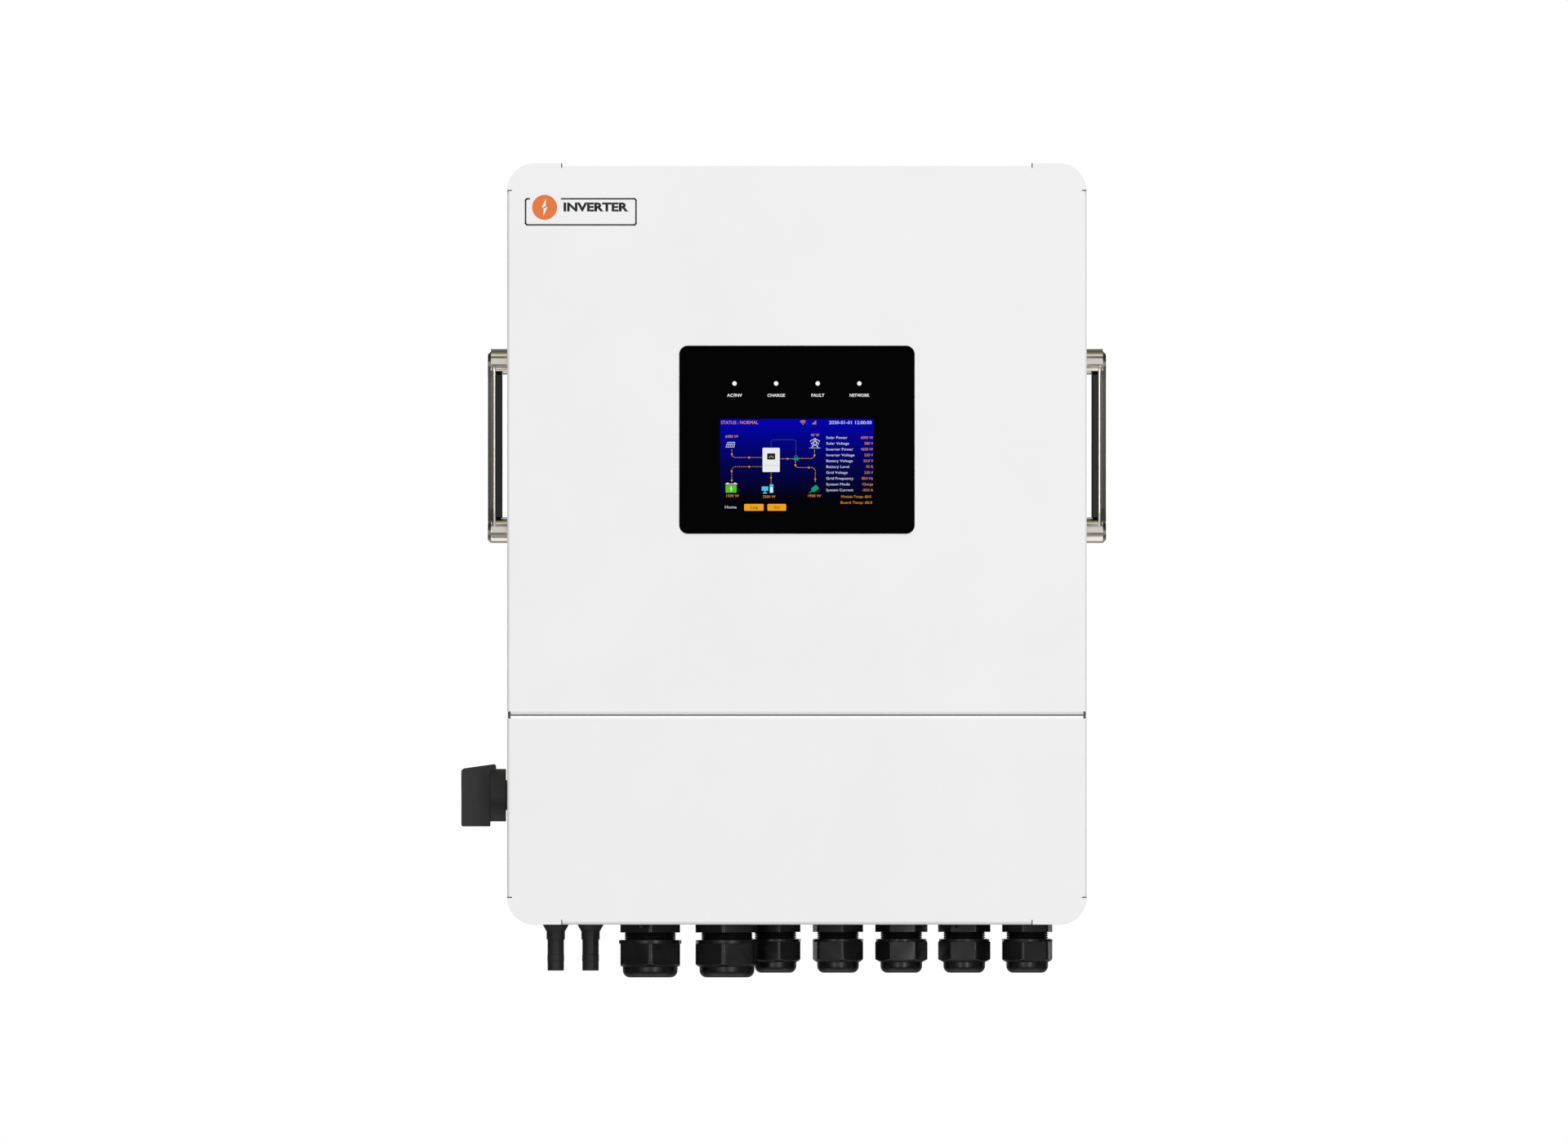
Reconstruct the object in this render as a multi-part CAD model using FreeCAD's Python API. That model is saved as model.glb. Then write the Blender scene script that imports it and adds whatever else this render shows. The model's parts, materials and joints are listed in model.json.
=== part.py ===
"""Wall-hung string inverter.

A sheet steel enclosure holds the electronics behind an upper cover and a pull-off
lower cover. A finned heat sink with three fans stands between the enclosure and the
wall, inside two duct sides that also carry the lifting handles. Cables enter through
glands and two solar connectors in the gland plate underneath, and a rotary switch on
the left side disconnects the solar panels.

Axes: +X to the right seen from the front, +Y towards the wall, +Z up. While the parts
are drawn, z = 0 is the enclosure's lower edge and y = 0 is the wall. They are moved
just before they are written, so that the origin is the centre of the wall bolts.
"""
import FreeCAD
import Part
import math
import os

V = FreeCAD.Vector
RIGHT, BACK, UP = V(1, 0, 0), V(0, 1, 0), V(0, 0, 1)

# ---------------------------------------------------------------- driving dimensions
BODY_W = 408.0            # enclosure, over the covers
BODY_H = 536.0
FRONT_Y = -180.0          # front face of the covers
CORNER_R = 19.5           # corner of the covers, seen from the front
SEAM_Z = 147.5            # joint between the two covers
SEAM_GAP = 0.6

COVER_T = 1.2             # cover sheet
BEND_R = 2.3              # outer radius of the covers' bends
FLANGE = 16.0             # depth of the covers' flanges
SEAM_FLANGE = 4.6         # depth of the short flanges at the seam
TOP_FLANGE_X = 165.3      # half length of the top and bottom flanges
SLIT_W, SLIT_L = 0.6, 3.3 # bend relief slits at the ends of the flanges

FIT_GAP = 0.3             # play between a cover and the chassis
WALL_T = 1.5              # chassis sheet
LIP = 12.0                # width of the lip that the gaskets seat on
CHASSIS_Y = -175.0        # front of that lip
REAR_Y = -80.0            # front of the rear panel
REAR_T = 3.0
GLAND_PLATE_T = 2.0
GASKET_INSET = 4.5        # from the chassis outline to the gaskets
SEAM_INSET = 3.0          # from the seam to the gaskets

PANEL_W, PANEL_H, PANEL_R = 165.0, 131.6, 5.7   # display glass
PANEL_Z = 341.3
SCREEN_W, SCREEN_H, SCREEN_Z = 108.0, 64.8, 323.5
LED_Z, LED_PITCH = 380.9, 29.3
LIGHT_PIPE_R = 1.7

BOLT_Z = 415.0            # centre of the wall bolts above the lower edge
BOLT_DX, BOLT_DZ = 240.0, 50.0
BOLT_R = 4.5
LOW_BOLT_X, LOW_BOLT_Z, LOW_BOLT_R = 155.0, 42.0, 3.5

DUCT_X = 170.0            # inner face of the duct sides
DUCT_T = 2.5
DUCT_Z0, DUCT_Z1 = 60.0, 505.0
FIN_TIP_Y = -20.0
SINK_X = 162.0
FAN_XS = (-105.0, 0.0, 105.0)
FAN_Y, FAN_SIDE, FAN_Z0, FAN_H = -46.75, 60.0, 80.0, 25.0
FAN_BORE_R, FAN_SHAFT_R = 28.5, 1.5

HANDLE_Y, HANDLE_Z, HANDLE_PITCH = -46.0, 336.9, 118.5
HANDLE_X = 217.7          # outermost face of the handles
POST_R = 9.0
BAR_T, BAR_CHAMFER, GRIP_T = 5.6, 3.6, 4.4

SWITCH_Y, SWITCH_Z = -128.0, 91.1
SHAFT_R = 4.0             # switch shaft
KNOB_END_X = -200.0       # inner end of the knob's neck
SCREW_Y = -171.0          # cover screws, on the flanges
LOW_SCREW_X = 110.0
SLOT_R = 2.3              # half width of the lower cover's slots for its screws

BOARD_T = 1.6             # every circuit board
BOARD_GAP = 16.4          # rear panel to the main board
CONTROL_Y = -150.0        # rear face of the control board
COMM_Y = -96.0            # rear face of the communication board
TERMINAL_PITCH = 18.0     # grid and load clamps

# x, y and the turn of the hexagon's corner from the front, for each cable gland
BATTERY_GLANDS = ((-103.3, -138.0, 0.0), (-49.3, -138.0, -7.4))
CABLE_GLANDS = (
    (-15.1, -110.0, 9.0),
    (28.9, -110.0, 10.8),
    (73.5, -110.0, 33.8),
    (117.8, -110.0, 27.8),
    (162.1, -110.0, -10.4),
)
PV_XS, PV_Y = (-169.8, -145.3), -110.0

# worked out from the above
CHASSIS_X = BODY_W / 2 - COVER_T - FIT_GAP
CHASSIS_Z0 = COVER_T + FIT_GAP
CHASSIS_Z1 = BODY_H - CHASSIS_Z0
CHASSIS_R = CORNER_R - COVER_T - FIT_GAP
FLAT_X = CHASSIS_X - CHASSIS_R          # where the corner arcs of the chassis end
PLATE_TOP = CHASSIS_Z0 + GLAND_PLATE_T
BATTERY_XS = tuple(x for x, _, _ in BATTERY_GLANDS)
COVER_BACK_Y = FRONT_Y + COVER_T
BEZEL_BACK_Y = COVER_BACK_Y + 3.0
DISPLAY_Y = COVER_BACK_Y + 9.0          # front of the display board
SINK_Y = REAR_Y + REAR_T                # rear face of the rear panel
BOARD_BACK_Y = REAR_Y - BOARD_GAP
BOARD_Y = BOARD_BACK_Y - BOARD_T        # front of the main board
TERMINAL_XS = [16.0 + TERMINAL_PITCH * k for k in range(8)]


class Gland:
    """Sizes of one cable gland. Heights are distances below the enclosure's lower edge."""

    def __init__(self, flats, corner_cut, thread_r, sleeve_r, rim_r, dome_r, seal_r, cable_r, levels):
        self.flats, self.corner_cut = flats, corner_cut
        self.thread_r, self.sleeve_r = thread_r, sleeve_r
        self.rim_r, self.dome_r = rim_r, dome_r
        self.seal_r, self.cable_r = seal_r, cable_r
        self.base, self.nut_top, self.rim, self.hex_end, self.end = levels


M32 = Gland(42.0, 2.0, 15.8, 18.3, 22.0, 19.3, 13.8, 10.0, (5.6, 10.8, 13.4, 29.6, 37.2))
M25 = Gland(33.0, 1.4, 12.3, 14.9, 17.8, 14.7, 10.4, 8.0, (5.2, 10.0, 12.0, 26.2, 34.0))
GLANDS = [(M32, place) for place in BATTERY_GLANDS] + [(M25, place) for place in CABLE_GLANDS]


# ---------------------------------------------------------------- shape helpers
def block(x0, x1, y0, y1, z0, z1):
    return Part.makeBox(x1 - x0, y1 - y0, z1 - z0, V(x0, y0, z0))


def rod(radius, length, start, along=UP):
    return Part.makeCylinder(radius, length, start, along)


def ring(outer, inner, length, start, along=UP):
    return rod(outer, length, start, along).cut(rod(inner, length, start, along))


def loop(points):
    return Part.Face(Part.makePolygon(points + [points[0]]))


def fused(shapes):
    """One solid from shapes that touch or overlap."""
    return shapes[0].fuse(shapes[1:]).removeSplitter() if len(shapes) > 1 else shapes[0]


def group(shapes):
    """Separate solids that share one node."""
    return Part.makeCompound(shapes)


def rounded_face(u0, u1, v0, v1, radii, place):
    """Rectangle with rounded corners; radii go lower left, lower right, upper right,
    upper left, and place turns (u, v) into a point."""
    corners = ((u0, v0, 1, 1), (u1, v0, -1, 1), (u1, v1, -1, -1), (u0, v1, 1, -1))
    edges, ends = [], []
    for (u, v, du, dv), r in zip(corners, radii):
        beside, above = place(u + du * r, v), place(u, v + dv * r)
        first, last = (above, beside) if du == dv else (beside, above)
        bend = r * (1 - math.sqrt(0.5))
        ends.append((first, place(u + du * bend, v + dv * bend), last, r))
    for k, (first, middle, last, r) in enumerate(ends):
        if r > 0:
            edges.append(Part.Arc(first, middle, last).toShape())
        edges.append(Part.makeLine(last, ends[(k + 1) % 4][0]))
    return Part.Face(Part.Wire(edges))


def upright_plate(x0, x1, z0, z1, r, y0, y1):
    """Plate facing the front, with rounded corners: one radius, or four of them."""
    radii = r if isinstance(r, tuple) else (r, r, r, r)
    face = rounded_face(x0, x1, z0, z1, radii, lambda u, v: V(u, y0, v))
    return face.extrude(BACK * (y1 - y0))


def level_plate(x0, x1, y0, y1, r, z0, z1):
    face = rounded_face(x0, x1, y0, y1, (r, r, r, r), lambda u, v: V(u, v, z0))
    return face.extrude(UP * (z1 - z0))


def turned(profile, x, y):
    """Solid of revolution about the vertical axis through x, y; profile is (radius, z)."""
    face = loop([V(x + r, y, z) for r, z in profile])
    return face.revolve(V(x, y, 0), UP, 360)


def hexagon(flats, corner_cut, x, y, turn, z0, z1):
    """Hexagonal prism whose corners are cut flat; turn is the angle of one corner from
    the front, positive to the right."""
    corner = flats / math.sqrt(3)
    tips = []
    for k in range(6):
        a = math.radians(turn - 90 + 60 * k)
        tips.append(V(x + corner * math.cos(a), y + corner * math.sin(a), z0))
    points = []
    for k, tip in enumerate(tips):
        for other in (tips[k - 1], tips[(k + 1) % 6]):
            points.append(tip + (other - tip).normalize() * corner_cut)
    return loop(points).extrude(UP * (z1 - z0))


def mirrored(shape):
    """The same piece on the other side of the enclosure."""
    return shape.mirror(V(0, 0, 0), RIGHT)


# ---------------------------------------------------------------- fasteners
def flush_screw(surface, inwards, extra=0.0):
    """Countersunk screw with its head level with surface; extra opens it out into the
    hole that it sits in."""
    head_r, shank_r, head_h, length = 3.9 + extra, 2.0 + extra, 1.9, 8.0
    head = Part.makeCone(head_r, shank_r, head_h, surface, inwards)
    screw = fused([head, rod(shank_r, length, surface, inwards)])
    if extra:
        return screw
    socket = rod(1.25, 1.1, surface, inwards)
    return screw.cut(socket)


def upper_screw_places():
    """Surface point and inward direction of each screw that holds the upper cover."""
    half = BODY_W / 2
    sides = [(V(s * half, SCREW_Y, z), V(-s, 0, 0)) for s in (-1, 1) for z in (190.0, 330.0, 480.0)]
    top = [(V(x, SCREW_Y, BODY_H), V(0, 0, -1)) for x in (-LOW_SCREW_X, LOW_SCREW_X)]
    return sides + top


def upper_cover_screws():
    return group([flush_screw(p, d) for p, d in upper_screw_places()])


def lower_cover_screws():
    """Two socket screws under the bottom flange, whose slots let the cover slide off."""
    head_h, socket_h, top = 1.9, 1.2, -FIT_GAP
    screws = []
    for x in (-LOW_SCREW_X, LOW_SCREW_X):
        head = rod(3.6, head_h, V(x, SCREW_Y, top - head_h))
        socket = hexagon(2.5, 0.01, x, SCREW_Y, 0, top - head_h, top - head_h + socket_h)
        screws.append(fused([head.cut(socket), rod(2.0, 8.0, V(x, SCREW_Y, top))]))
    return group(screws)


# ---------------------------------------------------------------- covers
def bent_edge(corner, along, outward, length, depth):
    """Bend and flange along one edge of a cover."""
    r, t, c = BEND_R, COVER_T, math.sqrt(0.5)

    def at(u, v):
        return corner + outward * u + BACK * v

    edges = [
        Part.Arc(at(-r, 0), at(-r + r * c, r - r * c), at(0, r)).toShape(),
        Part.makeLine(at(0, r), at(0, depth)),
        Part.makeLine(at(0, depth), at(-t, depth)),
        Part.makeLine(at(-t, depth), at(-t, r)),
        Part.Arc(at(-t, r), at(-r + (r - t) * c, r - (r - t) * c), at(-r, t)).toShape(),
        Part.makeLine(at(-r, t), at(-r, 0)),
    ]
    return Part.Face(Part.Wire(edges)).extrude(along * length)


def edge_strip(corner, along, outward, length, width):
    """Block as thick as the sheet that reaches width inwards from a cover's edge."""
    far = corner + along * length
    face = loop([corner, far, far - outward * width, corner - outward * width])
    return face.extrude(BACK * COVER_T)


def slits(edges):
    """The bend-relief slits at the ends of the edges, as solids."""
    return [
        edge_strip(corner + along * start, along, outward, SLIT_W, SLIT_L)
        for corner, along, outward, _, _, starts in edges for start in starts
    ]


def cover(z0, z1, radii, edges):
    """Flat face with bent edges; each edge is its corner, two directions, length, depth,
    and where along it the slits start."""
    sheet = upright_plate(-BODY_W / 2, BODY_W / 2, z0, z1, radii, FRONT_Y, COVER_BACK_Y)
    bends = []
    for corner, along, outward, length, depth, _ in edges:
        sheet = sheet.cut(edge_strip(corner, along, outward, length, BEND_R))
        bends.append(bent_edge(corner, along, outward, length, depth))
    return fused([sheet.cut(slits(edges))] + bends)


def side_edges(z0, z1, slit):
    half = BODY_W / 2
    return [
        (V(s * half, FRONT_Y, z0), UP, V(s, 0, 0), z1 - z0, FLANGE, (slit,))
        for s in (-1, 1)
    ]


def seam_edge(z, outward):
    x = BODY_W / 2 - BEND_R
    return (V(-x, FRONT_Y, z), RIGHT, outward, 2 * x, SEAM_FLANGE, ())


def long_edge(z, outward):
    x = TOP_FLANGE_X
    return (V(-x, FRONT_Y, z), RIGHT, outward, 2 * x, FLANGE, (-SLIT_W, 2 * x))


def seam_notches(sheet, z0, z1):
    """Square relief where a seam flange meets the side flanges."""
    for s in (-1, 1):
        x = s * (BODY_W / 2 - BEND_R / 2)
        sheet = sheet.cut(block(x - BEND_R / 2, x + BEND_R / 2, FRONT_Y, COVER_BACK_Y, z0, z1))
    return sheet


def upper_edges():
    z0 = SEAM_Z + SEAM_GAP / 2
    side0, side1 = z0 + BEND_R, BODY_H - CORNER_R
    return side_edges(side0, side1, side1 - side0) + [long_edge(BODY_H, UP), seam_edge(z0, -UP)]


def lower_edges():
    z1 = SEAM_Z - SEAM_GAP / 2
    return side_edges(CORNER_R, z1 - BEND_R, -SLIT_W) + [long_edge(0, -UP), seam_edge(z1, UP)]


def upper_cover():
    z0 = SEAM_Z + SEAM_GAP / 2
    sheet = cover(z0, BODY_H, (0, 0, CORNER_R, CORNER_R), upper_edges())
    sheet = seam_notches(sheet, z0, z0 + BEND_R)
    gap = 0.4                # play round the display glass
    window = upright_plate(
        -PANEL_W / 2 - gap, PANEL_W / 2 + gap, PANEL_Z - PANEL_H / 2 - gap,
        PANEL_Z + PANEL_H / 2 + gap, PANEL_R + gap, FRONT_Y, COVER_BACK_Y)
    sheet = sheet.cut(window)
    for place, inwards in upper_screw_places():
        sheet = sheet.cut(flush_screw(place, inwards, 0.1))
    return sheet


def lower_cover():
    z1 = SEAM_Z - SEAM_GAP / 2
    sheet = cover(0, z1, (CORNER_R, CORNER_R, 0, 0), lower_edges())
    sheet = seam_notches(sheet, z1 - BEND_R, z1)
    for x in (-LOW_SCREW_X, LOW_SCREW_X):
        slot = block(x - SLOT_R, x + SLOT_R, SCREW_Y, FRONT_Y + FLANGE, 0, COVER_T)
        sheet = sheet.cut(fused([slot, rod(SLOT_R, COVER_T, V(x, SCREW_Y, 0))]))
    return sheet


def gasket(z0, z1, back_y, radii):
    outer_x, width = CHASSIS_X - GASKET_INSET, 7.0
    outer = upright_plate(-outer_x, outer_x, z0, z1, radii, COVER_BACK_Y, back_y)
    inner_radii = tuple(max(r - width, 0) for r in radii)
    inner = upright_plate(
        -outer_x + width, outer_x - width, z0 + width, z1 - width, inner_radii, COVER_BACK_Y, back_y)
    return outer.cut(inner)


def seam_seal():
    """Rubber strip that closes the seam from the front of the chassis. Its ends fill the
    notches in the covers and wrap round the side panels."""
    half, thickness, end_h, end_y = BODY_W / 2, SEAM_GAP - 0.2, 2 * BEND_R + SEAM_GAP - 0.3, -166.0
    strip = block(
        -half + BEND_R, half - BEND_R, FRONT_Y + BEND_R, CHASSIS_Y,
        SEAM_Z - thickness / 2, SEAM_Z + thickness / 2)
    z0, z1 = SEAM_Z - end_h / 2, SEAM_Z + end_h / 2
    front = block(half - BEND_R, half - 0.4, CHASSIS_Y - 0.3, CHASSIS_Y, z0, z1)
    side = block(CHASSIS_X, half - 0.4, CHASSIS_Y - 1.2, end_y, z0, z1)
    end = fused([front, side])
    return fused([strip, end, mirrored(end)])


def upper_gasket():
    """Gasket behind the upper cover, with the seam's seal and the sealant in the slits."""
    r = CHASSIS_R - 2
    seal = gasket(SEAM_Z + SEAM_INSET, CHASSIS_Z1 - GASKET_INSET, CHASSIS_Y, (0, 0, r, r))
    return group([seal, seam_seal()] + slits(upper_edges()))


def lower_gasket():
    """Gasket behind the lower cover, with the sealant in that cover's slits."""
    r, z0 = CHASSIS_R - 2, CHASSIS_Z0 + GASKET_INSET
    seal = gasket(z0, SEAM_Z - SEAM_INSET, CHASSIS_Y - FIT_GAP, (r, r, 0, 0))
    return group([seal] + slits(lower_edges()))


# ---------------------------------------------------------------- chassis
def chassis_band(width, y0, y1):
    """Band of the given width round the inside of the chassis outline."""
    outer = upright_plate(-CHASSIS_X, CHASSIS_X, CHASSIS_Z0, CHASSIS_Z1, CHASSIS_R, y0, y1)
    inner = upright_plate(
        -CHASSIS_X + width, CHASSIS_X - width, CHASSIS_Z0 + width, CHASSIS_Z1 - width,
        CHASSIS_R - width, y0, y1)
    return outer.cut(inner)


def side_panel(side):
    """Side wall with its rounded corners and the front lip; side is -1 left, 1 right."""
    shell = fused([
        chassis_band(WALL_T, CHASSIS_Y, REAR_Y),
        chassis_band(LIP, CHASSIS_Y, CHASSIS_Y + WALL_T),
    ])
    beyond = block(FLAT_X, CHASSIS_X, CHASSIS_Y, REAR_Y, CHASSIS_Z0, CHASSIS_Z1)
    panel = shell.common(beyond if side > 0 else mirrored(beyond))
    for place, inwards in upper_screw_places():
        if place.x * side > FLAT_X:
            panel = panel.cut(flush_screw(place, inwards, 0.1))
    if side < 0:
        panel = panel.cut(rod(11.0, 3, V(-CHASSIS_X - 1, SWITCH_Y, SWITCH_Z), RIGHT))
    return panel


def top_panel():
    z = CHASSIS_Z1
    panel = fused([
        block(-FLAT_X, FLAT_X, CHASSIS_Y, REAR_Y, z - WALL_T, z),
        block(-FLAT_X, FLAT_X, CHASSIS_Y, CHASSIS_Y + WALL_T, z - LIP, z),
    ])
    for place, inwards in upper_screw_places():
        if abs(place.x) < FLAT_X:
            panel = panel.cut(flush_screw(place, inwards, 0.1))
    return panel


def gland_plate():
    z = CHASSIS_Z0
    plate = fused([
        block(-FLAT_X, FLAT_X, CHASSIS_Y, REAR_Y, z, PLATE_TOP),
        block(-FLAT_X, FLAT_X, CHASSIS_Y, CHASSIS_Y + WALL_T, z, z + LIP),
    ])
    holes = [rod(g.thread_r + 0.3, 4, V(x, y, 0)) for g, (x, y, _) in GLANDS]
    holes += [rod(6.3, 4, V(x, PV_Y, 0)) for x in PV_XS]
    holes += [rod(2.2, 4, V(x, SCREW_Y, 0)) for x in (-LOW_SCREW_X, LOW_SCREW_X)]
    return plate.cut(holes)


def rear_panel():
    return upright_plate(
        -CHASSIS_X, CHASSIS_X, CHASSIS_Z0, CHASSIS_Z1, CHASSIS_R, REAR_Y, REAR_Y + REAR_T)


def divider_shelf():
    """Shelf between the electronics and the wiring space, and the rail behind the seam."""
    x = CHASSIS_X - WALL_T
    shelf = block(-x, x, CHASSIS_Y + WALL_T, REAR_Y, SEAM_Z - WALL_T, SEAM_Z)
    rail_x = CHASSIS_X - LIP
    rail = block(-rail_x, rail_x, CHASSIS_Y, CHASSIS_Y + WALL_T, SEAM_Z - 12, SEAM_Z + 12)
    slots = [
        level_plate(c - 18, c + 18, -104, -88, 6, SEAM_Z - WALL_T, SEAM_Z)
        for c in BATTERY_XS + (40.0, 120.0)
    ]
    return fused([shelf, rail]).cut(slots)


# ---------------------------------------------------------------- display
def display_glass():
    return upright_plate(
        -PANEL_W / 2, PANEL_W / 2, PANEL_Z - PANEL_H / 2, PANEL_Z + PANEL_H / 2, PANEL_R,
        FRONT_Y - 0.6, COVER_BACK_Y)


def led_xs():
    return [LED_PITCH * (k - 1.5) for k in range(4)]


def display_bezel():
    """Moulded frame glued behind the upper cover; it carries the glass and the screen."""
    margin, back_y = 7.0, BEZEL_BACK_Y
    frame = upright_plate(
        -PANEL_W / 2 - margin, PANEL_W / 2 + margin, PANEL_Z - PANEL_H / 2 - margin,
        PANEL_Z + PANEL_H / 2 + margin, PANEL_R, COVER_BACK_Y, back_y)
    screen = lcd_block(0.5, COVER_BACK_Y, back_y)
    holes = [rod(LIGHT_PIPE_R + 0.3, 3, V(x, COVER_BACK_Y, LED_Z), BACK) for x in led_xs()]
    return frame.cut([screen] + holes)


def lcd_block(extra, y0, y1):
    x, z = SCREEN_W / 2 + 4.0 + extra, SCREEN_H / 2 + 5.0 + extra
    return block(-x, x, y0, y1, SCREEN_Z - z, SCREEN_Z + z)


def lcd_module():
    return lcd_block(0, COVER_BACK_Y, COVER_BACK_Y + 6.0)


def display_pillar_places(y):
    return [V(sx * 72, y, PANEL_Z + sz * 54) for sx in (-1, 1) for sz in (-1, 1)]


def display_board():
    board = upright_plate(-78, 78, PANEL_Z - 60, PANEL_Z + 60, 3, DISPLAY_Y, DISPLAY_Y + BOARD_T)
    return board.cut([rod(1.7, 2, place, BACK) for place in display_pillar_places(DISPLAY_Y)])


def led_light_pipes():
    length = DISPLAY_Y - COVER_BACK_Y
    return group([rod(LIGHT_PIPE_R, length, V(x, COVER_BACK_Y, LED_Z), BACK) for x in led_xs()])


# ---------------------------------------------------------------- electronics
def main_board():
    board = upright_plate(-165, 165, 175, 505, 4, BOARD_Y, BOARD_BACK_Y)
    return board.cut([rod(2.2, 3, p, BACK) for p in main_standoff_places(BOARD_Y)])


def main_standoff_places(y):
    return [V(x, y, z) for x in (-155.0, 0.0, 155.0) for z in (185.0, 340.0, 495.0)]


def control_standoff_places(y):
    return [V(x, y, z) for x in (-155.0, -25.0) for z in (183.0, 263.0)]


def control_board():
    return upright_plate(-160, -20, 178, 268, 3, CONTROL_Y - BOARD_T, CONTROL_Y)


def board_standoffs():
    """Pillars of the main, control, communication and display boards."""
    main = [rod(3.5, REAR_Y - BOARD_BACK_Y, p, BACK) for p in main_standoff_places(BOARD_BACK_Y)]
    control = [rod(3.0, BOARD_Y - CONTROL_Y, p, BACK) for p in control_standoff_places(CONTROL_Y)]
    comm = [rod(3.0, REAR_Y - COMM_Y, V(x, COMM_Y, 78), BACK) for x in (100, 186)]
    display = [rod(3.0, DISPLAY_Y - BEZEL_BACK_Y, p, BACK) for p in display_pillar_places(BEZEL_BACK_Y)]
    return group(main + control + comm + display)


def power_modules():
    """Row of transistor blocks clamped to the rear panel over the heat sink."""
    return group([block(x - 18, x + 18, REAR_Y - 6, REAR_Y, 300, 324) for x in range(-125, 126, 50)])


def bus_capacitors():
    can_r, can_h = 15.0, 46.0
    return group([
        rod(can_r, can_h, V(x, BOARD_Y - can_h, z), BACK)
        for x in (-140, -106, -72, -38) for z in (440, 476)
    ])


def boost_inductors():
    return group([ring(28.0, 11.0, 34.0, V(x, BOARD_Y - 34, 222), BACK) for x in (-120, -58)])


def isolation_transformer():
    x, z, limb = 60.0, 228.0, 10.0
    core = block(x - 32, x + 32, BOARD_Y - 44, BOARD_Y, z - 28, z + 28)
    window = block(x - 22, x + 22, BOARD_Y - 44, BOARD_Y, z - 28 + limb, z + 28 - limb)
    winding = rod(20.0, 56 - 2 * limb, V(x, BOARD_Y - 22, z - 28 + limb))
    return fused([core.cut(window), winding])


def grid_relays():
    return group([
        upright_plate(x - 10, x + 10, z - 14, z + 14, 1.0, BOARD_Y - 26, BOARD_Y)
        for x in (110, 134, 154) for z in (205, 240)
    ])


# ---------------------------------------------------------------- wiring space
def battery_terminal_block():
    base = block(-126, -26, -112, REAR_Y, 92, 122)
    fence = block(-78, -74, -126, -112, 92, 122)
    return fused([base, fence])


def battery_studs():
    """Threaded stud, washer and nut for each battery lead."""
    studs = []
    for x in BATTERY_XS:
        nut = hexagon(13.0, 0.3, 0, 0, 0, 0, 6.5)
        nut.rotate(V(0, 0, 0), RIGHT, 90)
        nut.translate(V(x, -114.0, 107))
        washer = rod(8.0, 2.0, V(x, -114.0, 107), BACK)
        stud = rod(4.0, 22.0, V(x, -134.0, 107), BACK)
        studs.append(fused([stud, nut, washer]))
    return group(studs)


def ac_terminal_block():
    """Barrier strip: a base with a fence between the clamps."""
    half, fence = TERMINAL_PITCH / 2, 1.2
    fence_xs = [TERMINAL_XS[0] - half] + [x + half for x in TERMINAL_XS]
    base = block(fence_xs[0] - fence, fence_xs[-1] + fence, -104, REAR_Y, 92, 124)
    return fused([base] + [block(x - fence, x + fence, -116, -104, 92, 124) for x in fence_xs])


def ac_terminal_screws():
    screws = []
    for x in TERMINAL_XS:
        for z in (100.0, 116.0):
            head = rod(4.2, 3.4, V(x, -107.4, z), BACK)
            slot = block(x - 4.5, x + 4.5, -107.4, -106.2, z - 0.5, z + 0.5)
            screws.append(head.cut(slot))
    return group(screws)


def comm_board():
    return block(94, 192, COMM_Y - BOARD_T, COMM_Y, 34, 84)


def comm_sockets():
    """Network sockets that open downwards."""
    sockets, back_y = [], COMM_Y - BOARD_T
    for x in (108.0, 131.0, 154.0, 177.0):
        shell = block(x - 8, x + 8, back_y - 13.6, back_y, 34, 55)
        mouth = block(x - 6, x + 6, back_y - 11.6, back_y - 3.6, 34, 50)
        sockets.append(shell.cut(mouth))
    return group(sockets)


def earth_bar():
    bar = block(-14, 46, -86, REAR_Y, 52, 66)
    screws = [rod(3.2, 3.0, V(x, -89, 59), BACK) for x in (-4.0, 16.0, 36.0)]
    return fused([bar] + screws)


# ---------------------------------------------------------------- solar switch
def dc_switch_body():
    x0, x1 = -CHASSIS_X + WALL_T, -152.0
    body = block(x0, x1, SWITCH_Y - 23, SWITCH_Y + 23, SWITCH_Z - 23, SWITCH_Z + 23)
    step = block(x1, x1 + 8, SWITCH_Y - 15, SWITCH_Y + 15, SWITCH_Z - 15, SWITCH_Z + 15)
    body = fused([body, step])
    recess = rod(12.0, 4.0, V(x0, SWITCH_Y, SWITCH_Z), RIGHT)
    return body.cut([recess, rod(SHAFT_R + 0.08, 22.0, V(x0, SWITCH_Y, SWITCH_Z), RIGHT)])


def dc_switch_shaft():
    return rod(SHAFT_R, 18.0, V(KNOB_END_X, SWITCH_Y, SWITCH_Z), RIGHT)


def dc_switch_knob():
    """Round skirt with a raised grip bar; the upper end of the bar is the pointer."""
    skirt_x, skirt_end, tip_x, half_w = -215.8, -BODY_W / 2 - 0.75, -236.4, 7.0
    skirt = rod(18.5, skirt_end - skirt_x, V(skirt_x, SWITCH_Y, SWITCH_Z), RIGHT)
    neck = rod(10.5, KNOB_END_X - skirt_end, V(skirt_end, SWITCH_Y, SWITCH_Z), RIGHT)
    outline = [
        (skirt_x, -22.0), (tip_x + 1.4, -22.0), (tip_x + 0.4, -21.6), (tip_x, -20.6),
        (tip_x, 17.4), (tip_x + 1.8, 18.9), (-213.0, 21.9), (-211.8, 20.9), (-211.8, 17.0),
        (skirt_x, 17.0),
    ]
    face = loop([V(x, SWITCH_Y - half_w, SWITCH_Z + z) for x, z in outline])
    return fused([skirt, neck, face.extrude(BACK * 2 * half_w)])


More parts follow.
